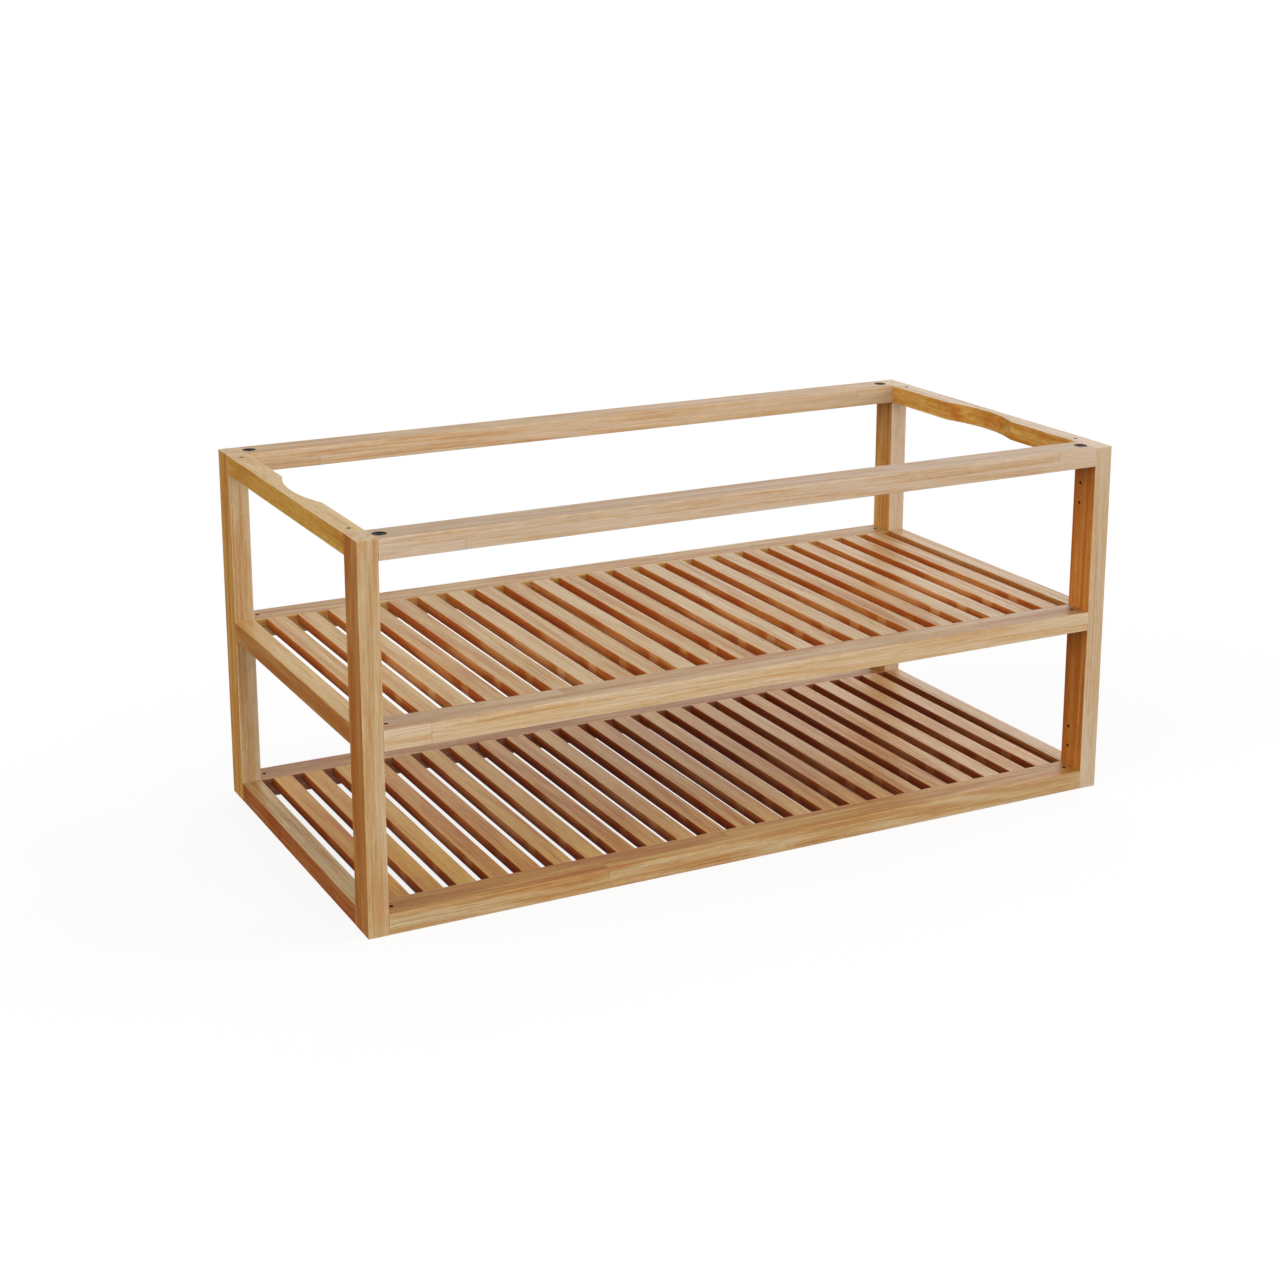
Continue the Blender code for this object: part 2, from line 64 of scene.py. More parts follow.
# Hand grips, an arc in the inner face of each top side rail
GRIP_LENGTH = 0.1420
GRIP_DEPTH = 0.0129
GRIP_STEPS = 36

# Tenons
SLAT_THICKNESS = 0.0129
SLAT_TENON_LENGTH = 0.0060
SLAT_TENON_THICKNESS = 0.0060
SLAT_TENON_SHOULDER = 0.0030
SIDE_TENON_SIZE = 0.0120

# Lock rods and their set screws
ROD_DIAMETER = 0.0060
ROD_PAST_SCREW = 0.0060
ROD_END_BEVEL = 0.0006
ROD_SIDES = 32
DIMPLE_DEPTH = 0.0008         # in the rod, under the screw's point
DIMPLE_RADII = (0.0019, 0.0013, 0.0002)  # above the rod, at its crown and at the dimple's foot
SCREW_DIAMETER = 0.0039
SCREW_SIDES = 24
SCREW_TOP_BEVEL = 0.0004
SCREW_TOP_INSET = 0.0001      # narrowing of the screw's neck, above its thread
SCREW_TIP = 0.0020            # plain taper at its point
SCREW_TIP_RADIUS = 0.0004
SCREW_INTO_DIMPLE = 0.0002    # its point above the dimple's foot
SCREW_SOCKET = 0.0022         # across the corners of the hexagon
HEXAGON = 6
SCREW_SOCKET_DEPTH = 0.0020
SCREW_SUNK = 0.0020           # top of the screw below the wood
THREAD_PITCH = 0.0008
THREAD_DEPTH = 0.0002
THREAD_START = 0.0006         # plain length before the first ridge

# Cam locks and the bolts they pull on
CAM_CAVITY_DIAMETER = 0.0084
CAM_CAVITY_HEIGHT = 0.0074
CAM_NECK_SLOT = 0.0052
CAM_RIM_BEVEL = 0.0005
CAM_RIM_ROUNDING = 0.3        # place of the bevel's middle point, as a share of it
CAM_SIDES = 48
CAM_SUNK = 0.0006             # below its CAD height, so that the wood's edge shades it
CROSS_LENGTH = 0.0092
CROSS_WIDTH = 0.0018
CROSS_DEPTH = 0.0022
CROSS_TAPER = 0.6             # width of an arm's floor, as a share of its mouth
CROSS_ARM_TAPER = 0.25        # how much an arm shortens as its width goes to nothing
BOLT_NECK_DIAMETER = 0.0040
BOLT_HEAD_DIAMETER = 0.0064
BOLT_HEAD_LENGTH = 0.0030
BOLT_HEAD_BEVEL = 0.0003      # towards the neck
BOLT_CROWN_LENGTH = 0.0008
BOLT_CROWN_BEVEL = 0.0009
BOLT_TIP = 0.7                # radius of its tip, as a share of its thread's
BOLT_THREAD_END = 0.0008      # from the last ridge to the shoulder
BOLT_SHOULDER = 0.0004
BOLT_IN_POST = 0.0130

# Spare holes in the inner faces of the front posts
SPARE_HOLE_DIAMETER = 0.0035
SPARE_HOLE_DEPTH = 0.0100
SPARE_HOLE_FROM_FRONT = 0.0283
SPARE_HOLES_FROM_END = (0.0505, 0.0765)

# Figure of the wood, from its darkest and reddest to its palest
WOOD_STOPS = ((0.37, 0.105, 0.018), (0.47, 0.210, 0.047), (0.555, 0.345, 0.145), (0.63, 0.465, 0.285))
WOOD_ROUGHNESS = 0.44
# Number of features in a metre along the grain, and twice across it
BROAD_BANDS = (2.0, 75.0, 75.0)
STREAKS = (7.0, 380.0, 380.0)
FIBRES = (30.0, 1300.0, 1300.0)
PORES = (70.0, 2400.0, 2400.0)
BLOTCHES = (60.0, 190.0, 190.0)
RING_BENDS = (1.6, 9.0, 9.0)
RINGS = (0.5, 7.0, 7.0)       # before RING_SCALE
RING_SCALE = 2.1
RING_WANDER = 3.0
RING_BENDING = 16.0           # how far RING_BENDS shift the rings, in radians
FIBRE_SHADE = (0.36, 0.81)    # how far the fibres brighten the wood, from what share of its colour
PORE_RANGE = (0.72, 0.95)     # of their noise, from no pore to the darkest
PORE_SHADE = 0.78
GLUE_SHADE = -0.22
EDGE_HIGHLIGHT_AND_WEAR = (1.14, 1.17, 1.22)  # painted highlight on a rounded, partly worn edge: brightening of red, green and blue
EDGE_REACH = (0.0004, 0.0022)  # where an edge's painted highlight starts to fade, and where it ends
EDGE_HIGHLIGHT_BLOTCHING = (0.55, 0.45)      # how much of the painted highlight is blotchy like worn wood, and how much is even
FACE_BLEND = 0.0003           # over which one face's tone gives way to the next
FLAT_ENDS = (0.0002, 0.0008)  # depth at which a grip rail's top gives way to its side
# Staves: how far their tones differ, and how far apart their figures are taken
STAVE_SPREAD = 0.14
STAVE_SHIFT = (3.71, 1.13, 2.29)
JOINT_LINE = (0.0003, 0.0010)  # where an end joint's line starts to fade, and where it ends
SEAM_LINE = (0.0001, 0.0005)
# Painted pools of light on a slat's side: middle along it, half length, length of the soft edge
LONG_PATCH = (-0.055, 0.035, 0.035)
SHORT_PATCH = (-0.144, 0.007, 0.006)
LONG_PATCH_SHARE = 0.8
PATCH_LIFT = 0.50
BORE_SHADE = 0.05             # painted shade: share of its colour and gloss that the wood in a hole keeps
BORE_FADE = 0.35              # share of a hole's flare over which the painted shade darkens it
ROW_SHIFT = 0.170             # from the joint in one row of staves to the next row's
SEAM_SHARE = 0.35             # how strongly a lengthwise seam shows, against an end joint
NO_JOINT = Vector((9.0, 9.0, 0.0))

CUT_PAST = 0.0010             # how far a cutter starts outside the wood
SMOOTH_BELOW = math.radians(19)  # below the corner at a grip's ends

SIDES = (("left", -1), ("right", 1))
ENDS = (("front", -1), ("back", 1))
SLATS = 23

# Turn from a timber's own axes to the frame's, by the axis its grain runs along
GRAIN_TURN = {
    "x": Matrix.Identity(4),
    "y": Matrix.Rotation(math.radians(90), 4, "Z"),
    "z": Matrix.Rotation(math.radians(-90), 4, "Y"),
}
AXIS_INDEX = {"x": 0, "y": 1, "z": 2}

rng = random.Random(23)
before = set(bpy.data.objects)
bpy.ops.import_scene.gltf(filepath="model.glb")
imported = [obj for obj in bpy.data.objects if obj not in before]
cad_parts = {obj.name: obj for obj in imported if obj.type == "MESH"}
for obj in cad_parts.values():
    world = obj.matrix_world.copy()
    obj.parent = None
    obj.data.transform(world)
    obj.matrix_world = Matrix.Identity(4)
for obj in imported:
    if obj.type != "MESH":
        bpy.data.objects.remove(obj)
cad_low, cad_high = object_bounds()
HALF_LENGTH, HALF_DEPTH, TOP = cad_high


# ---------------------------------------- node tools

def add_node(tree, kind, inputs=None, **settings):
    node = tree.nodes.new(kind)
    for name, value in settings.items():
        setattr(node, name, value)
    for key, value in (inputs or {}).items():
        if isinstance(value, bpy.types.NodeSocket):
            tree.links.new(value, node.inputs[key])
        else:
            node.inputs[key].default_value = value
    return node


def calc(tree, operation, *values):
    return add_node(tree, "ShaderNodeMath", dict(enumerate(values)), operation=operation).outputs[0]


def vector_calc(tree, operation, *values):
    node = add_node(tree, "ShaderNodeVectorMath", dict(enumerate(values)), operation=operation)
    return node.outputs[0]


def scaled(tree, vector, factor):
    node = add_node(tree, "ShaderNodeVectorMath", {0: vector, "Scale": factor}, operation="SCALE")
    return node.outputs[0]


def parts(tree, vector):
    """A vector's X, Y and Z."""
    return add_node(tree, "ShaderNodeSeparateXYZ", {0: vector}).outputs


def remap(tree, value, low, high, to_low=0.0, to_high=1.0):
    inputs = {"Value": value, "From Min": low, "From Max": high, "To Min": to_low, "To Max": to_high}
    return add_node(tree, "ShaderNodeMapRange", inputs, interpolation_type="SMOOTHSTEP").outputs[0]


def noise(tree, place, stretch, detail=3.0, roughness=0.5, distortion=0.0):
    """Noise from 0 to 1, by its number of features in a metre along X, Y and Z."""
    inputs = {
        "Vector": vector_calc(tree, "MULTIPLY", place, stretch), "Scale": 1.0, "Detail": detail,
        "Roughness": roughness, "Distortion": distortion,
    }
    raw = add_node(tree, "ShaderNodeTexNoise", inputs).outputs["Fac"]
    return remap(tree, raw, 0.25, 0.75)


def mix_colour(tree, factor, first, second):
    node = add_node(tree, "ShaderNodeMix", {0: factor, 6: first, 7: second}, data_type="RGBA")
    return node.outputs[2]


def attribute(tree, name, output):
    return add_node(tree, "ShaderNodeAttribute", attribute_name=name).outputs[output]


def new_material(name):
    material = bpy.data.materials.new(name)
    material.use_nodes = True
    tree = material.node_tree
    return material, tree, tree.nodes["Principled BSDF"]


# ---------------------------------------- wood

def glued_staves(tree, place):
    """A number for the glued stave that a point is in, and the glue lines around it.

    A timber is one piece, or is split across Y, across Z or both into rows of staves. The joints
    attribute says where along X the lower and the upper row have their end joint.
    """
    x, y, z = parts(tree, place)
    splits = parts(tree, attribute(tree, "splits", "Vector"))
    joints = parts(tree, attribute(tree, "joints", "Vector"))
    behind = calc(tree, "MULTIPLY", calc(tree, "GREATER_THAN", y, 0.0), splits["Y"])
    above = calc(tree, "MULTIPLY", calc(tree, "GREATER_THAN", z, 0.0), splits["Z"])
    rise = calc(tree, "SUBTRACT", joints["Y"], joints["X"])
    joint = calc(tree, "MULTIPLY_ADD", above, rise, joints["X"])
    joint = calc(tree, "MULTIPLY_ADD", behind, ROW_SHIFT, joint)
    past = calc(tree, "SUBTRACT", x, joint)
    beyond = calc(tree, "GREATER_THAN", past, 0.0)
    stave = add_node(tree, "ShaderNodeCombineXYZ", {0: beyond, 1: behind, 2: above}).outputs[0]
    key = vector_calc(tree, "ADD", stave, attribute(tree, "seed", "Vector"))
    number = add_node(tree, "ShaderNodeTexWhiteNoise", {"Vector": key}).outputs["Value"]
    line = remap(tree, calc(tree, "ABSOLUTE", past), *JOINT_LINE, 1.0, 0.0)
    for distance, split in ((y, splits["Y"]), (z, splits["Z"])):
        seam = remap(tree, calc(tree, "ABSOLUTE", distance), *SEAM_LINE, SEAM_SHARE, 0.0)
        line = calc(tree, "MAXIMUM", line, calc(tree, "MULTIPLY", seam, split))
    return number, line


def distances_to_faces(tree, place):
    inward = vector_calc(
        tree, "SUBTRACT", attribute(tree, "half", "Vector"), vector_calc(tree, "ABSOLUTE", place))
    return parts(tree, inward)


def edge_nearness(tree, x, y, z):
    """1 on the rounded edges, falling to 0 within the flat faces."""
    total = calc(tree, "ADD", calc(tree, "ADD", x, y), z)
    largest = calc(tree, "MAXIMUM", calc(tree, "MAXIMUM", x, y), z)
    nearest_two = calc(tree, "SUBTRACT", total, largest)
    return remap(tree, nearest_two, *EDGE_REACH, 1.0, 0.0)


def nearest_share(tree, distance, other, third):
    """1 on the faces that a distance is measured to, and 0 on the others."""
    rest = calc(tree, "MINIMUM", other, third)
    return remap(tree, calc(tree, "SUBTRACT", rest, distance), -FACE_BLEND, FACE_BLEND)


def painted_light_patches(tree, place):
    """Painted light along a slat's side: a long pale zone, and a short sharp-edged one near the front."""
    along = parts(tree, place)["X"]

    def zone(middle, half, soft):
        distance = calc(tree, "ABSOLUTE", calc(tree, "SUBTRACT", along, middle))
        return remap(tree, distance, half, half + soft, 1.0, 0.0)

    long_zone = calc(tree, "MULTIPLY", zone(*LONG_PATCH), LONG_PATCH_SHARE)
    return calc(tree, "MAXIMUM", long_zone, zone(*SHORT_PATCH))


def wood_material(name, broad=0.50, rings=0.40, blotch=0.24, streaks=0.74, light_patches=False,
                  grip=False):
    """Oiled hardwood, coloured by a figure that runs from red-brown at 0 to pale straw at 1.

    broad, rings, blotch and streaks say how far each of them moves the figure. light_patches paints
    pools of light on a slat's sides, and grip is for a rail whose side has an arc cut into it, so that
    depth doesn't tell its faces apart.
    """
    material, tree, shader = new_material(name)
    place = add_node(tree, "ShaderNodeTexCoord").outputs["Object"]
    stave, glue_line = glued_staves(tree, place)
    in_x, in_y, in_z = distances_to_faces(tree, place)
    edge = edge_nearness(tree, in_x, in_y, in_z)
    if grip:
        on_flat = remap(tree, in_z, *FLAT_ENDS, 1.0, 0.0)
        on_side = calc(tree, "SUBTRACT", 1.0, on_flat)
    else:
        on_flat = nearest_share(tree, in_z, in_y, in_x)
        on_side = nearest_share(tree, in_y, in_z, in_x)

    grain = vector_calc(tree, "ADD", place, attribute(tree, "seed", "Vector"))
    grain = vector_calc(tree, "ADD", grain, scaled(tree, STAVE_SHIFT, stave))

    broad_noise = noise(tree, grain, BROAD_BANDS, 3.0, 0.55, 0.4)
    streak_noise = noise(tree, grain, STREAKS, 4.0, 0.65)
    fibre_noise = noise(tree, grain, FIBRES, 3.0, 0.6)
    pore_noise = noise(tree, grain, PORES, 1.0)
    blotch_noise = noise(tree, grain, BLOTCHES, 3.0, 0.65, 0.8)
    bend = noise(tree, grain, RING_BENDS, 1.0)
    ring_inputs = {
        "Vector": vector_calc(tree, "MULTIPLY", grain, RINGS), "Scale": RING_SCALE,
        "Distortion": RING_WANDER, "Detail": 2.0, "Detail Scale": 1.2,
        "Phase Offset": calc(tree, "MULTIPLY", bend, RING_BENDING),
    }
    ring_noise = add_node(
        tree, "ShaderNodeTexWave", ring_inputs, wave_type="RINGS", rings_direction="X").outputs["Fac"]

    # Painted shade: the faces attribute changes the tone of the side and the flat faces, for how light
    # falls on them
    faces = parts(tree, attribute(tree, "faces", "Vector"))
    figure = calc(tree, "MULTIPLY_ADD", on_side, faces["Y"], attribute(tree, "tone", "Fac"))
    figure = calc(tree, "MULTIPLY_ADD", on_flat, faces["Z"], figure)
    figure = calc(tree, "ADD", figure, calc(tree, "MULTIPLY_ADD", stave, STAVE_SPREAD, -STAVE_SPREAD / 2))
    for part, weight in ((broad_noise, broad), (ring_noise, rings), (blotch_noise, blotch),
                         (streak_noise, streaks)):
        figure = calc(tree, "ADD", figure, calc(tree, "MULTIPLY_ADD", part, weight, -weight / 2))
    # Painted pools of light on the slats' sides
    if light_patches:
        light_patch = calc(tree, "MULTIPLY", painted_light_patches(tree, place), on_side)
        figure = calc(tree, "ADD", figure, calc(tree, "MULTIPLY", light_patch, PATCH_LIFT))
    ramp = add_node(tree, "ShaderNodeValToRGB", {"Fac": figure})
    elements = ramp.color_ramp.elements
    for i, colour in enumerate(WOOD_STOPS):
        spot = i / (len(WOOD_STOPS) - 1)
        element = elements[i] if i < 2 else elements.new(spot)
        element.position = spot
        element.color = (*colour, 1.0)

    shade = calc(tree, "MULTIPLY_ADD", fibre_noise, *FIBRE_SHADE)
    pores = remap(tree, pore_noise, *PORE_RANGE, 1.0, PORE_SHADE)
    shade = calc(tree, "MULTIPLY", shade, pores)
    # Painted shade in holes: their walls are darkened nearly to black
    hole_painted_shade = remap(tree, attribute(tree, "bored", "Fac"), 0.0, BORE_FADE, 1.0, BORE_SHADE)
    shade = calc(tree, "MULTIPLY", shade, hole_painted_shade)
    shade = calc(tree, "MULTIPLY", shade, calc(tree, "MULTIPLY_ADD", glue_line, GLUE_SHADE, 1.0))
    colour = scaled(tree, ramp.outputs["Color"], shade)
    # Hue and painted light: the side and flat faces are tinted, partly for light, shade and bounced light
    for share, tint in ((on_side, "side_hue_and_light"), (on_flat, "flat_hue_and_light")):
        here = mix_colour(tree, share, (1.0, 1.0, 1.0, 1.0), attribute(tree, tint, "Vector"))
        colour = vector_calc(tree, "MULTIPLY", colour, here)
    # Painted highlight on the rounded edges, blotchy like worn wood: their colour is lightened
    worn = vector_calc(tree, "MULTIPLY", colour, EDGE_HIGHLIGHT_AND_WEAR)
    painted_highlight_and_wear = calc(tree, "MULTIPLY", edge, calc(tree, "MULTIPLY_ADD", blotch_noise, *EDGE_HIGHLIGHT_BLOTCHING))
    colour = mix_colour(tree, painted_highlight_and_wear, colour, worn)
    tree.links.new(colour, shader.inputs["Base Color"])

    roughness = calc(tree, "MULTIPLY_ADD", streak_noise, -0.14, WOOD_ROUGHNESS + 0.07)
    roughness = calc(tree, "MULTIPLY_ADD", edge, -0.07, roughness)
    tree.links.new(roughness, shader.inputs["Roughness"])
    shader.inputs["IOR"].default_value = 1.45
    # The painted shade in holes also takes away their gloss
    tree.links.new(calc(tree, "MULTIPLY", hole_painted_shade, 0.5), shader.inputs["Specular IOR Level"])

    height = calc(tree, "MULTIPLY_ADD", fibre_noise, 0.5, calc(tree, "MULTIPLY", streak_noise, 0.5))
    height = calc(tree, "MULTIPLY_ADD", pores, 0.8, height)
    height = calc(tree, "MULTIPLY_ADD", glue_line, -0.6, height)
    bump = add_node(
        tree, "ShaderNodeBump", {"Strength": 0.35, "Distance": 0.0002, "Height": height})
    tree.links.new(bump.outputs["Normal"], shader.inputs["Normal"])
    return material


# ---------------------------------------- metal

def metal_material(name, colour, rough, specular, mottling=0.30, metallic=0.05):
    """Blackened metal with soft mottling, fine scratches and a worn, uneven polish."""
    material, tree, shader = new_material(name)
    place = add_node(tree, "ShaderNodeTexCoord").outputs["Object"]
    cloud = noise(tree, place, (420.0, 420.0, 420.0), 4.0, 0.6)
    scratch = noise(tree, place, (300.0, 6000.0, 2500.0), 2.0)
    dark = tuple(channel * (1 - mottling) for channel in colour)
    light = tuple(min(1.0, channel * (1 + mottling)) for channel in colour)
    blend = remap(tree, cloud, 0.35, 0.65)
    tree.links.new(
        mix_colour(tree, blend, (*dark, 1.0), (*light, 1.0)), shader.inputs["Base Color"])
    roughness = calc(tree, "ADD", remap(tree, cloud, 0.3, 0.7, rough - 0.08, rough + 0.08),
                     remap(tree, scratch, 0.55, 0.7, 0.0, 0.12))
    tree.links.new(roughness, shader.inputs["Roughness"])
    shader.inputs["Metallic"].default_value = metallic
    shader.inputs["Specular IOR Level"].default_value = specular
    bump = add_node(
        tree, "ShaderNodeBump", {"Strength": 0.25, "Distance": 0.00005, "Height": scratch})
    tree.links.new(bump.outputs["Normal"], shader.inputs["Normal"])
    return material


MATERIALS = {
    "post_wood": wood_material("post_wood", broad=0.34),
    "top_rail_wood": wood_material("top_rail_wood"),
    "grip_rail_wood": wood_material("grip_rail_wood", blotch=0.50, streaks=0.46, grip=True),
    "shelf_rail_wood": wood_material("shelf_rail_wood"),
    "slat_wood": wood_material("slat_wood", light_patches=True),
    "cam_zinc": metal_material("cam_zinc", (0.011, 0.011, 0.014), rough=0.46, specular=0.16),
    "bolt_steel": metal_material("bolt_steel", (0.009, 0.008, 0.008), rough=0.50, specular=0.05),
}


# ---------------------------------------- mesh tools

def add_object(name, mesh_data):
    bmesh.ops.recalc_face_normals(mesh_data, faces=mesh_data.faces)
    mesh = bpy.data.meshes.new(name)
    mesh_data.to_mesh(mesh)
    mesh_data.free()
    shape = bpy.data.objects.new(name, mesh)
    bpy.context.scene.collection.objects.link(shape)
    return shape


def combined(shape, steps):
    """The shape's mesh after each boolean step, given as (operation, mesh data)."""
    helpers = []
    for i, (operation, mesh_data) in enumerate(steps):
        helper = add_object(f"{shape.name}_helper_{i}", mesh_data)
        step = shape.modifiers.new(helper.name, "BOOLEAN")
        step.operation = operation
        step.solver = "EXACT"
        step.object = helper
        helpers.append(helper)
    bpy.context.view_layer.update()
    evaluated = shape.evaluated_get(bpy.context.evaluated_depsgraph_get())
    mesh = bpy.data.meshes.new_from_object(evaluated)
    shape.modifiers.clear()
    for helper in helpers:
        helper_mesh = helper.data
        bpy.data.objects.remove(helper)
        bpy.data.meshes.remove(helper_mesh)
    return mesh


def soften(shape):
    """Smooth shading that leaves the flat faces flat."""
    shape.data.shade_smooth()
    shape.data.set_sharp_from_angle(angle=SMOOTH_BELOW)
    step = shape.modifiers.new("weighted_normals", "WEIGHTED_NORMAL")
    step.keep_sharp = True


def fill_attribute(mesh, name, value):
    is_vector = isinstance(value, Vector)
    kind = "FLOAT_VECTOR" if is_vector else "FLOAT"
    data = mesh.attributes.new(name, kind, "POINT").data
    count = len(mesh.vertices)
    if is_vector:
        data.foreach_set("vector", list(value) * count)
    else:
        data.foreach_set("value", [value] * count)


def mark_bores(mesh, half, clear_of_middle):
    """1 on vertices inside the timber's own block, which only the walls of its holes have.

    clear_of_middle is how far a grip's arc, which is also inside the block, reaches along it.
    """
    marks = mesh.attributes.new("bored", "FLOAT", "POINT").data
    for vert, mark in zip(mesh.vertices, marks):
        depth = min(half[i] - abs(vert.co[i]) for i in range(3))
        mark.value = float(depth > HOLE_FLARE / 2 and abs(vert.co.x) > clear_of_middle)


def add_block(mesh_data, low, high):
    low, high = Vector(low), Vector(high)
    size = high - low
    place = Matrix.Translation((low + high) / 2) @ Matrix.Diagonal((*size, 1.0))
    bmesh.ops.create_cube(mesh_data, size=1.0, matrix=place)


def centred_block(middle, size):
    middle, size = Vector(middle), Vector(size)
    mesh_data = bmesh.new()
    add_block(mesh_data, middle - size / 2, middle + size / 2)
    return mesh_data


def turned(mesh_data, origin, direction, profile, sides=ROD_SIDES):
    """Add a turned solid, whose profile gives (distance along the direction, radius) end to end."""
    direction = Vector(direction).normalized()
    across = direction.orthogonal().normalized()
    other = direction.cross(across)
    rings = []
    for along, radius in profile:
        ring = []
        for i in range(sides):
            angle = 2 * math.pi * i / sides
            spoke = across * math.cos(angle) + other * math.sin(angle)
            ring.append(mesh_data.verts.new(Vector(origin) + direction * along + spoke * radius))
        rings.append(ring)
    join_loops(mesh_data, rings)


def bore(mouth, direction, depth, diameter, flare=0.0):
    """Cutter for a hole from its mouth inward, with a bevelled rim where flare is given."""
    radius = diameter / 2
    profile = [(-CUT_PAST, radius + flare + CUT_PAST if flare else radius)]
    if flare:
        profile += [(flare, radius)]
    profile += [(depth, radius)]
    mesh_data = bmesh.new()
    turned(mesh_data, mouth, direction, profile)
    return mesh_data


def rounded_block(low, high, axis, end_radius=END_RADIUS):
    """A bar with rounded long edges, as rings along its axis that draw in at the two ends."""
    along = AXIS_INDEX[axis]
    across, other = [i for i in range(3) if i != along]
    middle, half = (low + high) / 2, (high - low) / 2
    spokes = []
    for corner in range(4):
        turn = corner * math.pi / 2
        centre_signs = (math.cos(turn + math.pi / 4), math.sin(turn + math.pi / 4))
        for i in range(EDGE_STEPS + 1):
            spokes.append((centre_signs, turn + math.pi / 2 * i / EDGE_STEPS))
    levels = []
    for i in range(END_STEPS + 1):
        angle = math.pi / 2 * i / END_STEPS
        levels.append((half[along] - end_radius * (1 - math.cos(angle)),
                       end_radius * (1 - math.sin(angle))))
    rings = [(-place, inset) for place, inset in levels] + levels[::-1]

    mesh_data = bmesh.new()
    loops = []
    for place, inset in rings:
        loop = []
        for signs, angle in spokes:
            point = middle.copy()
            point[along] += place
            reach = EDGE_RADIUS - inset
            point[across] += math.copysign(half[across] - EDGE_RADIUS, signs[0]) + reach * math.cos(angle)
            point[other] += math.copysign(half[other] - EDGE_RADIUS, signs[1]) + reach * math.sin(angle)
            loop.append(mesh_data.verts.new(point))
        loops.append(loop)
    join_loops(mesh_data, loops)
    return mesh_data


def join_loops(mesh_data, loops):
    """Faces between each loop of vertices and the next, and one over each end."""
    count = len(loops[0])
    for near, far in zip(loops, loops[1:]):
        for i in range(count):
            j = (i + 1) % count
            mesh_data.faces.new((near[i], near[j], far[j], far[i]))
    mesh_data.faces.new(loops[0][::-1])
    mesh_data.faces.new(loops[-1])


def rounded_prism(outline, z_low, z_high):
    """A plan outline given height, with its edges rounded where faces meet squarely, but for those
    around its two ends along Y."""
    mesh_data = bmesh.new()
    join_loops(mesh_data, [[mesh_data.verts.new((x, y, z)) for x, y in outline]
                           for z in (z_low, z_high)])
    square = [edge for edge in mesh_data.edges if edge.calc_face_angle(0.0) > SQUARE_CORNER]
    end = max(vert.co.y for vert in mesh_data.verts)

    def at_end(edge):
        return all(abs(abs(vert.co.y) - end) < 1e-6 for vert in edge.verts)

    long_edges = [edge for edge in square if not at_end(edge)]
    bmesh.ops.bevel(
        mesh_data, geom=long_edges, offset=EDGE_RADIUS, segments=EDGE_STEPS, profile=0.5,
        affect="EDGES")
    return mesh_data


# ---------------------------------------- pieces

def place_piece(piece, material, nodes):
    piece.data.materials.clear()
    piece.data.materials.append(MATERIALS[material])
    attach(piece, "root")
    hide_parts(*nodes)


def timber(name, mesh_data, steps, body, axis, look, nodes):
    """Finish a timber: cut it, move its mesh into its own axes, and give it its figure.

    body is its lowest and highest corner without tenons. look is its material, a slot that nothing
    here reads, its tone and its hues with painted light, and may hold the change of tone on its faces
    across Y and Z, which is painted shade, its splits, its joints and how far its grip reaches from its
    middle.
    """
    piece = add_object(name, mesh_data)
    piece.data = combined(piece, steps)
    low, high = body
    turn = Matrix.Translation((low + high) / 2) @ GRAIN_TURN[axis]
    piece.data.transform(turn.inverted())
    piece.matrix_world = turn
    size = GRAIN_TURN[axis].to_3x3().transposed() @ (high - low)
    half = Vector([abs(part) / 2 for part in size])
    fill_attribute(piece.data, "half", half)
    mark_bores(piece.data, half, look.get("grip", 0.0))
    fill_attribute(piece.data, "tone", look["tone"])
    fill_attribute(piece.data, "seed", Vector([rng.uniform(-4, 4) for _ in range(3)]))
    # The change of tone on its faces across Y and Z is painted shade
    fill_attribute(piece.data, "faces", Vector(look.get("faces", (0.0, 0.0, 0.0))))
    fill_attribute(piece.data, "splits", Vector(look.get("splits", (0.0, 0.0, 0.0))))
    fill_attribute(piece.data, "joints", Vector(look.get("joints", NO_JOINT)))
    side_hue_and_light, flat_hue_and_light = look["hues_and_light"]
    fill_attribute(piece.data, "side_hue_and_light", Vector(side_hue_and_light))
    fill_attribute(piece.data, "flat_hue_and_light", Vector(flat_hue_and_light))
    soften(piece)
    place_piece(piece, look["material"], nodes)
    return piece


def metal_piece(name, mesh_data, steps, material, nodes):
    piece = add_object(name, mesh_data)
    low = Vector([min(v.co[i] for v in piece.data.vertices) for i in range(3)])
    high = Vector([max(v.co[i] for v in piece.data.vertices) for i in range(3)])
    piece.data = combined(piece, steps)
    move = Matrix.Translation((low + high) / 2)
    piece.data.transform(move.inverted())
    piece.matrix_world = move
    soften(piece)
    place_piece(piece, material, nodes)
    return piece


# ---------------------------------------- places read from the frame

POSTS = {
    (x_name, y_name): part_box(f"post_{y_name}_{x_name}") for x_name, _ in SIDES for y_name, _ in ENDS}
POST_INNER_X = POSTS["right", "back"][0].x
POST_INNER_Y = POSTS["right", "back"][0].y
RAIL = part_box("top_rail_back")
RAIL_INNER_Y = RAIL[0].y
RAIL_MIDDLE_Y = (RAIL[0].y + RAIL[1].y) / 2
RAIL_HEIGHT = RAIL[1].z - RAIL[0].z
SIDE_MIDDLE_X = (POST_INNER_X + HALF_LENGTH) / 2
SHELF_TOPS = {
    "middle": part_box("middle_shelf_rail_front")[1].z, "lower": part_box("lower_shelf_rail_front")[1].z}
SLAT_BOXES = [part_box(f"middle_slat_{i + 1:02d}") for i in range(SLATS)]
SLAT_X = [(box[0].x + box[1].x) / 2 for box in SLAT_BOXES]
SLAT_WIDTH = SLAT_BOXES[0][1].x - SLAT_BOXES[0][0].x


def rail_middle_z(rail_top):
    return rail_top - RAIL_HEIGHT / 2


def slat_middle_z(shelf):
    return SHELF_TOPS[shelf] - SLAT_THICKNESS / 2


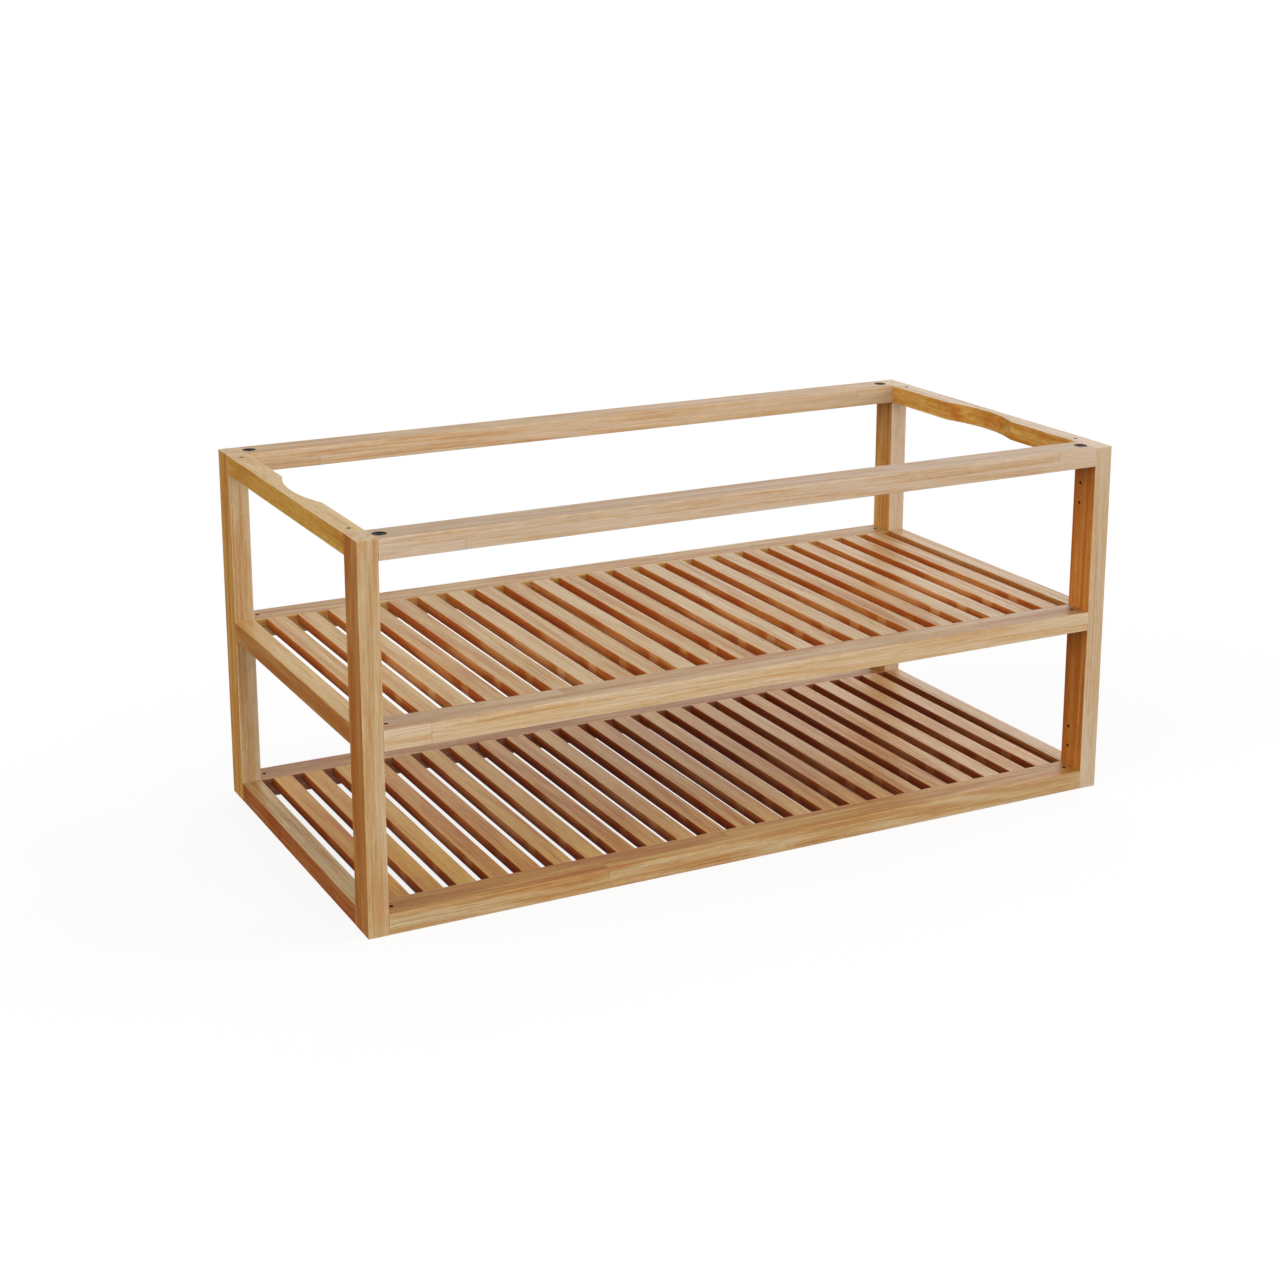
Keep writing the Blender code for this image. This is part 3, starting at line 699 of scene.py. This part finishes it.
def lock_places():
    """Each lock bolt: its node's name, the joint point on the post, the way into the rail, rod reach
    in the post and in the rail, and the level of the rail's top."""
    places = {}
    for x_name, x_side in SIDES:
        for y_name, y_side in ENDS:
            corner = f"{y_name}_{x_name}"
            low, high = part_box(f"lock_bolt_top_{corner}")
            joint = Vector((x_side * SIDE_MIDDLE_X, y_side * POST_INNER_Y, rail_middle_z(TOP)))
            outer = max(abs(low.y), abs(high.y)) - POST_INNER_Y
            inner = POST_INNER_Y - min(abs(low.y), abs(high.y))
            places["top", x_name, y_name] = (
                f"lock_bolt_top_{corner}", joint, Vector((0, -y_side, 0)), outer, inner, TOP)
            for shelf, top in SHELF_TOPS.items():
                low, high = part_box(f"lock_bolt_{shelf}_{corner}")
                joint = Vector((x_side * POST_INNER_X, y_side * RAIL_MIDDLE_Y, rail_middle_z(top)))
                outer = max(abs(low.x), abs(high.x)) - POST_INNER_X
                inner = POST_INNER_X - min(abs(low.x), abs(high.x))
                places[shelf, x_name, y_name] = (
                    f"lock_bolt_{shelf}_{corner}", joint, Vector((-x_side, 0, 0)), outer, inner, top)
    return places


LOCKS = lock_places()


def rod_bore_in_post(key):
    _, joint, inward, in_post, _, _ = LOCKS[key]
    return ("DIFFERENCE", bore(joint, -inward, in_post + GAP, ROD_DIAMETER + 2 * GAP))


def lock_bores_in_rail(key):
    """The bore for the rod in the rail's end, and the hole for its set screw in the rail's top."""
    _, joint, inward, _, in_rail, top = LOCKS[key]
    rod = bore(joint, inward, in_rail + GAP, ROD_DIAMETER + 2 * GAP)
    foot = joint + inward * (in_rail - ROD_PAST_SCREW)
    mouth = Vector((foot.x, foot.y, top))
    screw = bore(mouth, (0, 0, -1), top - foot.z, SCREW_DIAMETER + 2 * GAP, HOLE_FLARE)
    return [("DIFFERENCE", rod), ("DIFFERENCE", screw)]


# ---------------------------------------- hues

# How each timber's wood departs in hue, with painted light and shade on its faces: factors on red,
# green and blue, first for its faces across its own Y (a rail's front and back, a side rail's left
# and right, a post's front and back), and then for those across its own Z (a rail's top and bottom,
# a post's left and right)
HUES_AND_PAINTED_LIGHT = {
    "post_front_left": ((1.00, 1.03, 1.05), (1.03, 0.90, 0.72)),
    "post_front_right": ((1.00, 1.02, 1.13), (1.22, 1.00, 0.65)),
    "post_back_left": ((1.00, 1.05, 1.12), (1.14, 1.06, 0.72)),
    "post_back_right": ((1.00, 1.00, 1.18), (1.15, 1.04, 0.80)),
    "top_rail_front": ((1.04, 1.06, 1.24), (0.76, 0.70, 0.66)),
    "top_rail_back": ((1.01, 1.02, 1.10), (0.86, 0.80, 0.66)),
    "top_rail_left": ((1.18, 1.06, 0.50), (1.02, 0.96, 0.66)),
    "top_rail_right": ((1.10, 0.98, 0.50), (0.96, 0.98, 1.06)),
    "middle_shelf_rail_front": ((1.10, 1.12, 1.18), (0.90, 0.86, 0.82)),
    "middle_shelf_rail_back": ((1.00, 0.95, 0.60), (1.02, 1.02, 0.90)),
    "middle_shelf_rail_left": ((1.05, 1.00, 0.90), (1.10, 1.05, 0.76)),
    "middle_shelf_rail_right": ((1.00, 0.90, 0.80), (1.00, 1.00, 1.04)),
    "lower_shelf_rail_front": ((0.96, 0.98, 0.96), (1.13, 1.08, 0.66)),
    "lower_shelf_rail_back": ((0.50, 0.26, 0.20), (1.06, 1.00, 0.84)),
    "lower_shelf_rail_left": ((0.90, 0.66, 0.60), (1.00, 1.00, 0.80)),
    "lower_shelf_rail_right": ((0.90, 0.70, 0.60), (1.13, 1.10, 1.10)),
}
# Painted light and shade, the same way, for the slats' sides, and for their tops from the left end of
# a shelf to its right
SLAT_SIDE_PAINTED_LIGHT = {"middle": (1.24, 0.94, 0.72), "lower": (0.82, 0.48, 0.34)}
SLAT_TOP_PAINTED_LIGHT = {
    "middle": ((1.02, 0.96, 0.70), (1.03, 1.00, 1.00)),
    "lower": ((1.14, 0.87, 0.17), (1.21, 1.08, 0.92)),
}


def slat_painted_light(shelf, number):
    left, right = (Vector(tint) for tint in SLAT_TOP_PAINTED_LIGHT[shelf])
    return SLAT_SIDE_PAINTED_LIGHT[shelf], left.lerp(right, number / (SLATS - 1))


# ---------------------------------------- posts

# Tone, and its change on the faces to the left and right, which is painted shade
POST_TONES = {
    ("left", "front"): (0.68, -0.38), ("right", "front"): (0.86, -0.66),
    ("left", "back"): (0.70, -0.24), ("right", "back"): (0.88, -0.38)}


def build_post(x_name, x_side, y_name, y_side):
    low, high = POSTS[x_name, y_name]
    steps = [rod_bore_in_post((level, x_name, y_name)) for level in ("top", "middle", "lower")]
    bolt_mouth = Vector((x_side * POST_INNER_X, y_side * RAIL_MIDDLE_Y, rail_middle_z(TOP)))
    bolt = bore(bolt_mouth, (x_side, 0, 0), BOLT_IN_POST + GAP, ROD_DIAMETER + 2 * GAP)
    steps.append(("DIFFERENCE", bolt))
    tenon_end = abs(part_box(f"lower_shelf_rail_{x_name}")[0].y)
    mortises = bmesh.new()
    half = SIDE_TENON_SIZE / 2 + GAP
    for top in SHELF_TOPS.values():
        x, z = x_side * SIDE_MIDDLE_X, rail_middle_z(top)
        near, far = y_side * (POST_INNER_Y - CUT_PAST), y_side * (tenon_end + GAP)
        add_block(mortises, (x - half, min(near, far), z - half), (x + half, max(near, far), z + half))
    steps.append(("DIFFERENCE", mortises))
    if y_name == "front":
        y = -HALF_DEPTH + SPARE_HOLE_FROM_FRONT
        for distance in SPARE_HOLES_FROM_END:
            for z in (distance, TOP - distance):
                hole = bore((x_side * POST_INNER_X, y, z), (x_side, 0, 0), SPARE_HOLE_DEPTH,
                            SPARE_HOLE_DIAMETER, HOLE_FLARE)
                steps.append(("DIFFERENCE", hole))
    name = f"post_{y_name}_{x_name}"
    tone, side_painted_shade = POST_TONES[x_name, y_name]
    look = {"material": "post_wood", "slot": "post_wood", "tone": tone,
            "faces": (0.0, 0.0, side_painted_shade), "splits": (0.0, 1.0, 0.0), "hues_and_light": HUES_AND_PAINTED_LIGHT[name]}
    body = rounded_block(low, high, "z", FREE_END_RADIUS)
    return timber(f"{name}_timber", body, steps, (low, high), "z", look, [name])


# ---------------------------------------- rails

# Tone, and the places of the end joints in the lower and the upper row of staves
LONG_RAIL_LOOKS = {
    "top_rail_front": (0.90, -0.376, 0.418), "top_rail_back": (0.84, -0.382, 0.415),
    "middle_shelf_rail_front": (0.80, -0.420, -0.420), "middle_shelf_rail_back": (0.72, 0.226, -0.060),
    "lower_shelf_rail_front": (0.60, 0.118, -0.205), "lower_shelf_rail_back": (0.60, -0.145, 0.290),
}
RAIL_TOP_PAINTED_SHADE = -0.16       # painted shade: tone of a rail's top against its front
# Tone, and its change on the faces to the left and right, which is painted shade
SHELF_SIDE_LOOKS = {"middle": (0.70, -0.42), "lower": (0.66, -0.58)}
GRIP_RAIL_LOOK = (0.80, -0.30)


def long_rail_look(name, material):
    tone, lower_joint, upper_joint = LONG_RAIL_LOOKS[name]
    return {"material": material, "slot": material, "tone": tone, "splits": (0.0, 1.0, 1.0),
            "faces": (0.0, 0.0, RAIL_TOP_PAINTED_SHADE), "joints": (lower_joint, upper_joint, 0.0),
            "hues_and_light": HUES_AND_PAINTED_LIGHT[name]}


def reach_out(low, high, axis):
    """A timber's box with its two ends brought up against their neighbours."""
    reach = Vector([TIGHT if i == AXIS_INDEX[axis] else 0.0 for i in range(3)])
    return low - reach, high + reach


def build_top_long_rail(y_name):
    name = f"top_rail_{y_name}"
    low, high = reach_out(*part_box(name), "x")
    steps = []
    for x_name, x_side in SIDES:
        cam_low, cam_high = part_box(f"cam_lock_{y_name}_{x_name}")
        middle = (cam_low + cam_high) / 2
        diameter = cam_high.x - cam_low.x + 2 * GAP
        mouth = Vector((middle.x, middle.y, TOP))
        steps.append(("DIFFERENCE", bore(mouth, (0, 0, -1), TOP - cam_low.z + GAP, diameter, HOLE_FLARE)))
        passage_mouth = Vector((x_side * POST_INNER_X, middle.y, rail_middle_z(TOP)))
        reach = POST_INNER_X - abs(middle.x)
        passage = bore(passage_mouth, (-x_side, 0, 0), reach, BOLT_HEAD_DIAMETER + 2 * GAP)
        steps.append(("DIFFERENCE", passage))
    body = rounded_block(low, high, "x")
    look = long_rail_look(name, "top_rail_wood")
    return timber(f"{name}_timber", body, steps, (low, high), "x", look, [name])


def build_shelf_long_rail(shelf, y_name, y_side):
    name = f"{shelf}_shelf_rail_{y_name}"
    low, high = reach_out(*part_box(name), "x")
    steps = []
    for x_name, _ in SIDES:
        steps += lock_bores_in_rail((shelf, x_name, y_name))
    mortises = bmesh.new()
    half_width = SLAT_WIDTH / 2 - SLAT_TENON_SHOULDER + GAP
    half_height = SLAT_TENON_THICKNESS / 2 + GAP
    near = y_side * (RAIL_INNER_Y - CUT_PAST)
    far = y_side * (RAIL_INNER_Y + SLAT_TENON_LENGTH)
    z = slat_middle_z(shelf)
    for x in SLAT_X:
        add_block(mortises, (x - half_width, min(near, far), z - half_height),
                  (x + half_width, max(near, far), z + half_height))
    steps.append(("DIFFERENCE", mortises))
    body = rounded_block(low, high, "x")
    look = long_rail_look(name, "shelf_rail_wood")
    return timber(f"{name}_timber", body, steps, (low, high), "x", look, [name])


def grip_outline(x_side, end):
    """Plan of a top side rail, with its grip arc in the inner face."""
    outer = x_side * HALF_LENGTH
    inner = x_side * POST_INNER_X
    half = GRIP_LENGTH / 2
    radius = (half * half + GRIP_DEPTH * GRIP_DEPTH) / (2 * GRIP_DEPTH)
    sweep = math.asin(half / radius)
    points = [(outer, -end), (outer, end), (inner, end)]
    for i in range(GRIP_STEPS + 1):
        angle = sweep * (1 - 2 * i / GRIP_STEPS)
        cut = radius * math.cos(angle) - (radius - GRIP_DEPTH)
        points.append((inner + x_side * cut, radius * math.sin(angle)))
    points.append((inner, -end))
    return points


def build_top_side_rail(x_name, x_side):
    name = f"top_rail_{x_name}"
    low, high = reach_out(*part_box(name), "y")
    steps = []
    for y_name, _ in ENDS:
        steps += lock_bores_in_rail(("top", x_name, y_name))
    body = rounded_prism(grip_outline(x_side, high.y), low.z, high.z)
    tone, side_painted_shade = GRIP_RAIL_LOOK
    look = {"material": "grip_rail_wood", "slot": "top_rail_wood", "tone": tone,
            "faces": (0.0, side_painted_shade, 0.0), "grip": GRIP_LENGTH / 2 + EDGE_RADIUS,
            "hues_and_light": HUES_AND_PAINTED_LIGHT[name]}
    return timber(f"{name}_timber", body, steps, (low, high), "y", look, [name])


def build_shelf_side_rail(shelf, x_name):
    name = f"{shelf}_shelf_rail_{x_name}"
    whole_low, whole_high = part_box(name)
    end = POST_INNER_Y - GAP + TIGHT
    low = Vector((whole_low.x, -end, whole_low.z))
    high = Vector((whole_high.x, end, whole_high.z))
    middle = (low + high) / 2
    tenons = centred_block(middle, (SIDE_TENON_SIZE, whole_high.y - whole_low.y, SIDE_TENON_SIZE))
    tone, side_painted_shade = SHELF_SIDE_LOOKS[shelf]
    look = {"material": "shelf_rail_wood", "slot": "shelf_rail_wood", "tone": tone,
            "faces": (0.0, side_painted_shade, 0.0), "hues_and_light": HUES_AND_PAINTED_LIGHT[name]}
    body = rounded_block(low, high, "y")
    return timber(f"{name}_timber", body, [("UNION", tenons)], (low, high), "y", look, [name])


# ---------------------------------------- slats

# The slats come from a few boards, so their tones return in the same order along a shelf
SLAT_TONES = (0.64, 0.70, 0.86, 0.56, 0.58, 0.78, 0.90)
SLAT_TONE_SPREAD = 0.05
# Painted shade: the change of tone on a slat's sides, against its top
SLAT_SIDE_PAINTED_SHADE = -0.62


def build_slat(shelf, number, x):
    z = slat_middle_z(shelf)
    end = RAIL_INNER_Y - GAP + TIGHT
    half = Vector((SLAT_WIDTH / 2, end, SLAT_THICKNESS / 2))
    middle = Vector((x, 0.0, z))
    low, high = middle - half, middle + half
    tenons = centred_block(middle, (
        SLAT_WIDTH - 2 * SLAT_TENON_SHOULDER, 2 * (end + SLAT_TENON_LENGTH), SLAT_TENON_THICKNESS))
    tone = SLAT_TONES[number % len(SLAT_TONES)] + rng.uniform(-1, 1) * SLAT_TONE_SPREAD
    node = f"middle_slat_{number + 1:02d}" if shelf == "middle" else "lower_slat_grid"
    look = {"material": "slat_wood", "slot": "slat_wood", "tone": tone,
            "faces": (0.0, SLAT_SIDE_PAINTED_SHADE, 0.0), "hues_and_light": slat_painted_light(shelf, number)}
    body = rounded_block(low, high, "y")
    name = f"{shelf}_slat_{number + 1:02d}_timber"
    return timber(name, body, [("UNION", tenons)], (low, high), "y", look, [node])


# ---------------------------------------- metal fittings

def thread_profile(start, end, radius):
    """Points of a threaded stretch: ridges one pitch apart between start and end."""
    turns = int((end - start) / THREAD_PITCH)
    points = []
    for i in range(turns):
        along = start + i * THREAD_PITCH
        points += [(along, radius - THREAD_DEPTH), (along + THREAD_PITCH / 2, radius)]
    points.append((start + turns * THREAD_PITCH, radius - THREAD_DEPTH))
    return points


def cross_cutter(x, y, top):
    """A plus-shaped recess whose arms narrow towards their floor."""
    def outline(share):
        arm, half = CROSS_LENGTH / 2 * (1 - CROSS_ARM_TAPER * (1 - share)), CROSS_WIDTH / 2 * share
        quarter = ((arm, -half), (arm, half), (half, half))
        points = []
        for turn in range(4):
            spin = Matrix.Rotation(turn * math.pi / 2, 2)
            points += [spin @ Vector(p) for p in quarter]
        return points
    mesh_data = bmesh.new()
    levels = ((top + CUT_PAST, 1.0), (top, 1.0), (top - CROSS_DEPTH, CROSS_TAPER))
    join_loops(mesh_data, [
        [mesh_data.verts.new((x + p.x, y + p.y, z)) for p in outline(share)] for z, share in levels])
    return mesh_data


def build_cam_lock(x_name, x_side, y_name):
    node = f"cam_lock_{y_name}_{x_name}"
    low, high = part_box(node)
    high.z -= CAM_SUNK
    middle = (low + high) / 2
    radius = (high.x - low.x) / 2
    depth = high.z - low.z
    axis_z = rail_middle_z(TOP)
    body = bmesh.new()
    crown = CAM_RIM_BEVEL * CAM_RIM_ROUNDING
    profile = [(0.0, radius - CAM_RIM_BEVEL), (crown, radius - crown), (CAM_RIM_BEVEL, radius),
               (depth - CAM_RIM_BEVEL, radius), (depth, radius - CAM_RIM_BEVEL)]
    turned(body, (middle.x, middle.y, high.z), (0, 0, -1), profile, CAM_SIDES)
    cavity = bmesh.new()
    half_height = CAM_CAVITY_HEIGHT / 2
    cavity_radius = CAM_CAVITY_DIAMETER / 2
    turned(cavity, (middle.x, middle.y, axis_z - half_height), (0, 0, 1),
           [(0.0, cavity_radius), (CAM_CAVITY_HEIGHT, cavity_radius)])
    reach = radius + CUT_PAST
    neck = centred_block((middle.x + x_side * reach / 2, middle.y, axis_z),
                         (reach, CAM_NECK_SLOT, CAM_CAVITY_HEIGHT))
    steps = [("DIFFERENCE", cross_cutter(middle.x, middle.y, high.z)),
             ("DIFFERENCE", cavity), ("DIFFERENCE", neck)]
    return metal_piece(f"{node}_body", body, steps, "cam_zinc", [node])


def build_cam_bolt(x_name, x_side, y_name):
    node = f"cam_bolt_{y_name}_{x_name}"
    low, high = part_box(node)
    outer = max(abs(low.x), abs(high.x))
    inner = min(abs(low.x), abs(high.x))
    length = outer - inner
    thread = ROD_DIAMETER / 2
    neck = BOLT_NECK_DIAMETER / 2
    head = BOLT_HEAD_DIAMETER / 2
    shoulder = outer - POST_INNER_X - GAP
    head_start = length - BOLT_HEAD_LENGTH
    profile = [(0.0, thread * BOLT_TIP)]
    profile += thread_profile(THREAD_START, shoulder - BOLT_THREAD_END, thread)
    profile += [(shoulder - BOLT_SHOULDER, thread), (shoulder, thread), (shoulder, neck)]
    profile += [(head_start, neck), (head_start, head - BOLT_HEAD_BEVEL),
                (head_start + BOLT_HEAD_BEVEL, head), (length - BOLT_CROWN_LENGTH, head),
                (length, head - BOLT_CROWN_BEVEL)]
    body = bmesh.new()
    middle = (low + high) / 2
    start = (x_side * outer, middle.y, middle.z)
    turned(body, start, (-x_side, 0, 0), profile)
    return metal_piece(f"{node}_body", body, [], "bolt_steel", [node])


def build_lock(key):
    """A lock rod with a dimple, and the set screw whose point sits in it."""
    node, joint, inward, in_post, in_rail, top = LOCKS[key]
    radius = ROD_DIAMETER / 2
    length = in_post + in_rail
    rod = bmesh.new()
    profile = [(0.0, radius - ROD_END_BEVEL), (ROD_END_BEVEL, radius),
               (length - ROD_END_BEVEL, radius), (length, radius - ROD_END_BEVEL)]
    turned(rod, joint - inward * in_post, inward, profile)
    foot = joint + inward * (in_rail - ROD_PAST_SCREW)
    crown = foot + Vector((0, 0, radius))
    dimple = bmesh.new()
    dimple_levels = (0.0, CUT_PAST, CUT_PAST + DIMPLE_DEPTH)
    turned(dimple, crown + Vector((0, 0, CUT_PAST)), (0, 0, -1), list(zip(dimple_levels, DIMPLE_RADII)))
    metal_piece(f"{node}_rod", rod, [("DIFFERENCE", dimple)], "bolt_steel", [node])

    screw_radius = SCREW_DIAMETER / 2
    point = crown.z - DIMPLE_DEPTH + SCREW_INTO_DIMPLE
    screw_top = top - SCREW_SUNK
    screw_length = screw_top - point
    screw = bmesh.new()
    screw_profile = [(0.0, screw_radius - SCREW_TOP_BEVEL),
                     (SCREW_TOP_BEVEL, screw_radius - SCREW_TOP_INSET)]
    screw_profile += thread_profile(THREAD_START, screw_length - SCREW_TIP, screw_radius)
    screw_profile += [(screw_length, SCREW_TIP_RADIUS)]
    turned(screw, (foot.x, foot.y, screw_top), (0, 0, -1), screw_profile, SCREW_SIDES)
    socket = bmesh.new()
    turned(socket, (foot.x, foot.y, screw_top), (0, 0, -1), [
        (-CUT_PAST, SCREW_SOCKET / 2), (SCREW_SOCKET_DEPTH, SCREW_SOCKET / 2)], HEXAGON)
    metal_piece(f"{node}_set_screw", screw, [("DIFFERENCE", socket)], "bolt_steel", [node])


# ---------------------------------------- bench

def build_bench():
    for x_name, x_side in SIDES:
        for y_name, y_side in ENDS:
            build_post(x_name, x_side, y_name, y_side)
    for y_name, y_side in ENDS:
        build_top_long_rail(y_name)
        for shelf in SHELF_TOPS:
            build_shelf_long_rail(shelf, y_name, y_side)
    for x_name, x_side in SIDES:
        build_top_side_rail(x_name, x_side)
        for shelf in SHELF_TOPS:
            build_shelf_side_rail(shelf, x_name)
    for shelf in SHELF_TOPS:
        for number, x in enumerate(SLAT_X):
            build_slat(shelf, number, x)
    for x_name, x_side in SIDES:
        for y_name, _ in ENDS:
            build_cam_lock(x_name, x_side, y_name)
            build_cam_bolt(x_name, x_side, y_name)
    for key in LOCKS:
        build_lock(key)


# ---------------------------------------- studio

FLOOR_HALF = 60.0
FLOOR_DROP = 0.0001
FLOOR_GREY = 0.16
FLOOR_GLOW = 0.86

# Light from the sky, at the horizon and overhead
SKY = (0.10, 0.32)
# Bright panels: the way towards each, its half width in degrees, and its strength
SHINE_PANELS = (((0.9, 0.4, 0.2), 50, 1.15), ((0.5, -0.85, -0.1), 60, 0.70))
SHINE_ALL_ROUND = 0.06


def build_floor():
    mesh_data = bmesh.new()
    bmesh.ops.create_grid(mesh_data, x_segments=1, y_segments=1, size=FLOOR_HALF)
    bmesh.ops.translate(mesh_data, verts=mesh_data.verts, vec=(0.0, 0.0, -FLOOR_DROP))
    floor = add_object("studio_floor", mesh_data)
    material, _, shader = new_material("studio_floor_paint")
    shader.inputs["Base Color"].default_value = (FLOOR_GREY, FLOOR_GREY, FLOOR_GREY, 1.0)
    shader.inputs["Roughness"].default_value = 1.0
    shader.inputs["Specular IOR Level"].default_value = 0.0
    shader.inputs["Emission Color"].default_value = (1.0, 1.0, 1.0, 1.0)
    shader.inputs["Emission Strength"].default_value = FLOOR_GLOW
    floor.data.materials.append(material)
    floor.visible_diffuse = False
    floor.visible_glossy = False


def build_world():
    """A dim, even sky for soft light, and two bright panels that only the gloss reflects."""
    world = bpy.data.worlds.new("studio_world")
    bpy.context.scene.world = world
    world.use_nodes = True
    tree = world.node_tree
    direction = add_node(tree, "ShaderNodeTexCoord").outputs["Generated"]
    height = parts(tree, direction)["Z"]

    def panel(towards, half_width, strength):
        towards = tuple(Vector(towards).normalized())
        node = add_node(
            tree, "ShaderNodeVectorMath", {0: direction, 1: towards}, operation="DOT_PRODUCT")
        edge = math.cos(math.radians(half_width))
        return remap(tree, node.outputs["Value"], edge, 1.0, 0.0, strength)

    path = add_node(tree, "ShaderNodeLightPath").outputs
    soft = remap(tree, height, -0.1, 1.0, *SKY)
    shine = SHINE_ALL_ROUND
    for towards, half_width, strength in SHINE_PANELS:
        shine = calc(tree, "ADD", panel(towards, half_width, strength), shine)
    glossy = path["Is Glossy Ray"]
    strength = calc(tree, "MULTIPLY", glossy, shine)
    strength = calc(tree, "MULTIPLY_ADD", calc(tree, "SUBTRACT", 1.0, glossy), soft, strength)
    strength = calc(tree, "MAXIMUM", strength, path["Is Camera Ray"])
    background = tree.nodes["Background"].inputs
    tree.links.new(strength, background["Strength"])
    background["Color"].default_value = (1.0, 1.0, 1.0, 1.0)


# Soft suns: the way towards each, and the light that it gives a surface facing it
SUNS = {
    "front_light": ((0.10, -1.00, 0.12), 0.60),
    "left_light": ((-1.00, -0.15, 0.30), 0.72),
    "right_light": ((1.00, -0.20, 0.25), 0.80),
    "back_light": ((0.45, 0.80, 0.50), 0.25),
}
MATT_SUNS = ("left_light",)   # leave no gloss, so the wood keeps its full colour on that side
SUN_WIDTH = 60


def build_lights():
    for name, (towards, strength) in SUNS.items():
        light = bpy.data.lights.new(name, "SUN")
        light.energy = strength * math.pi
        light.angle = math.radians(SUN_WIDTH)
        lamp = bpy.data.objects.new(name, light)
        lamp.visible_glossy = name not in MATT_SUNS
        lamp.rotation_mode = "QUATERNION"
        lamp.rotation_quaternion = Vector(towards).to_track_quat("Z", "Y")
        bpy.context.scene.collection.objects.link(lamp)


# Where the camera stands, from the middle of the bench's footprint, and how it looks
CAMERA_PLACE = (-1.251, -2.352, 1.052)
CAMERA_TURN = 27.296           # degrees to the right of straight ahead
CAMERA_DIP = 13.703            # degrees below level
CAMERA_LENS = 61.54            # millimetres, on a sensor of CAMERA_SENSOR
CAMERA_SENSOR = 36.0
CAMERA_SHIFT = -0.12


def build_camera():
    data = bpy.data.cameras.new("camera")
    data.lens = CAMERA_LENS
    data.sensor_width = CAMERA_SENSOR
    data.shift_y = CAMERA_SHIFT
    data.clip_end = 3 * FLOOR_HALF
    camera = bpy.data.objects.new("camera", data)
    camera.location = CAMERA_PLACE
    camera.rotation_euler = (math.radians(90 - CAMERA_DIP), 0.0, math.radians(-CAMERA_TURN))
    bpy.context.scene.collection.objects.link(camera)
    bpy.context.scene.camera = camera


build_bench()
build_floor()
build_world()
build_lights()
build_camera()
bpy.context.scene.view_settings.view_transform = "Standard"
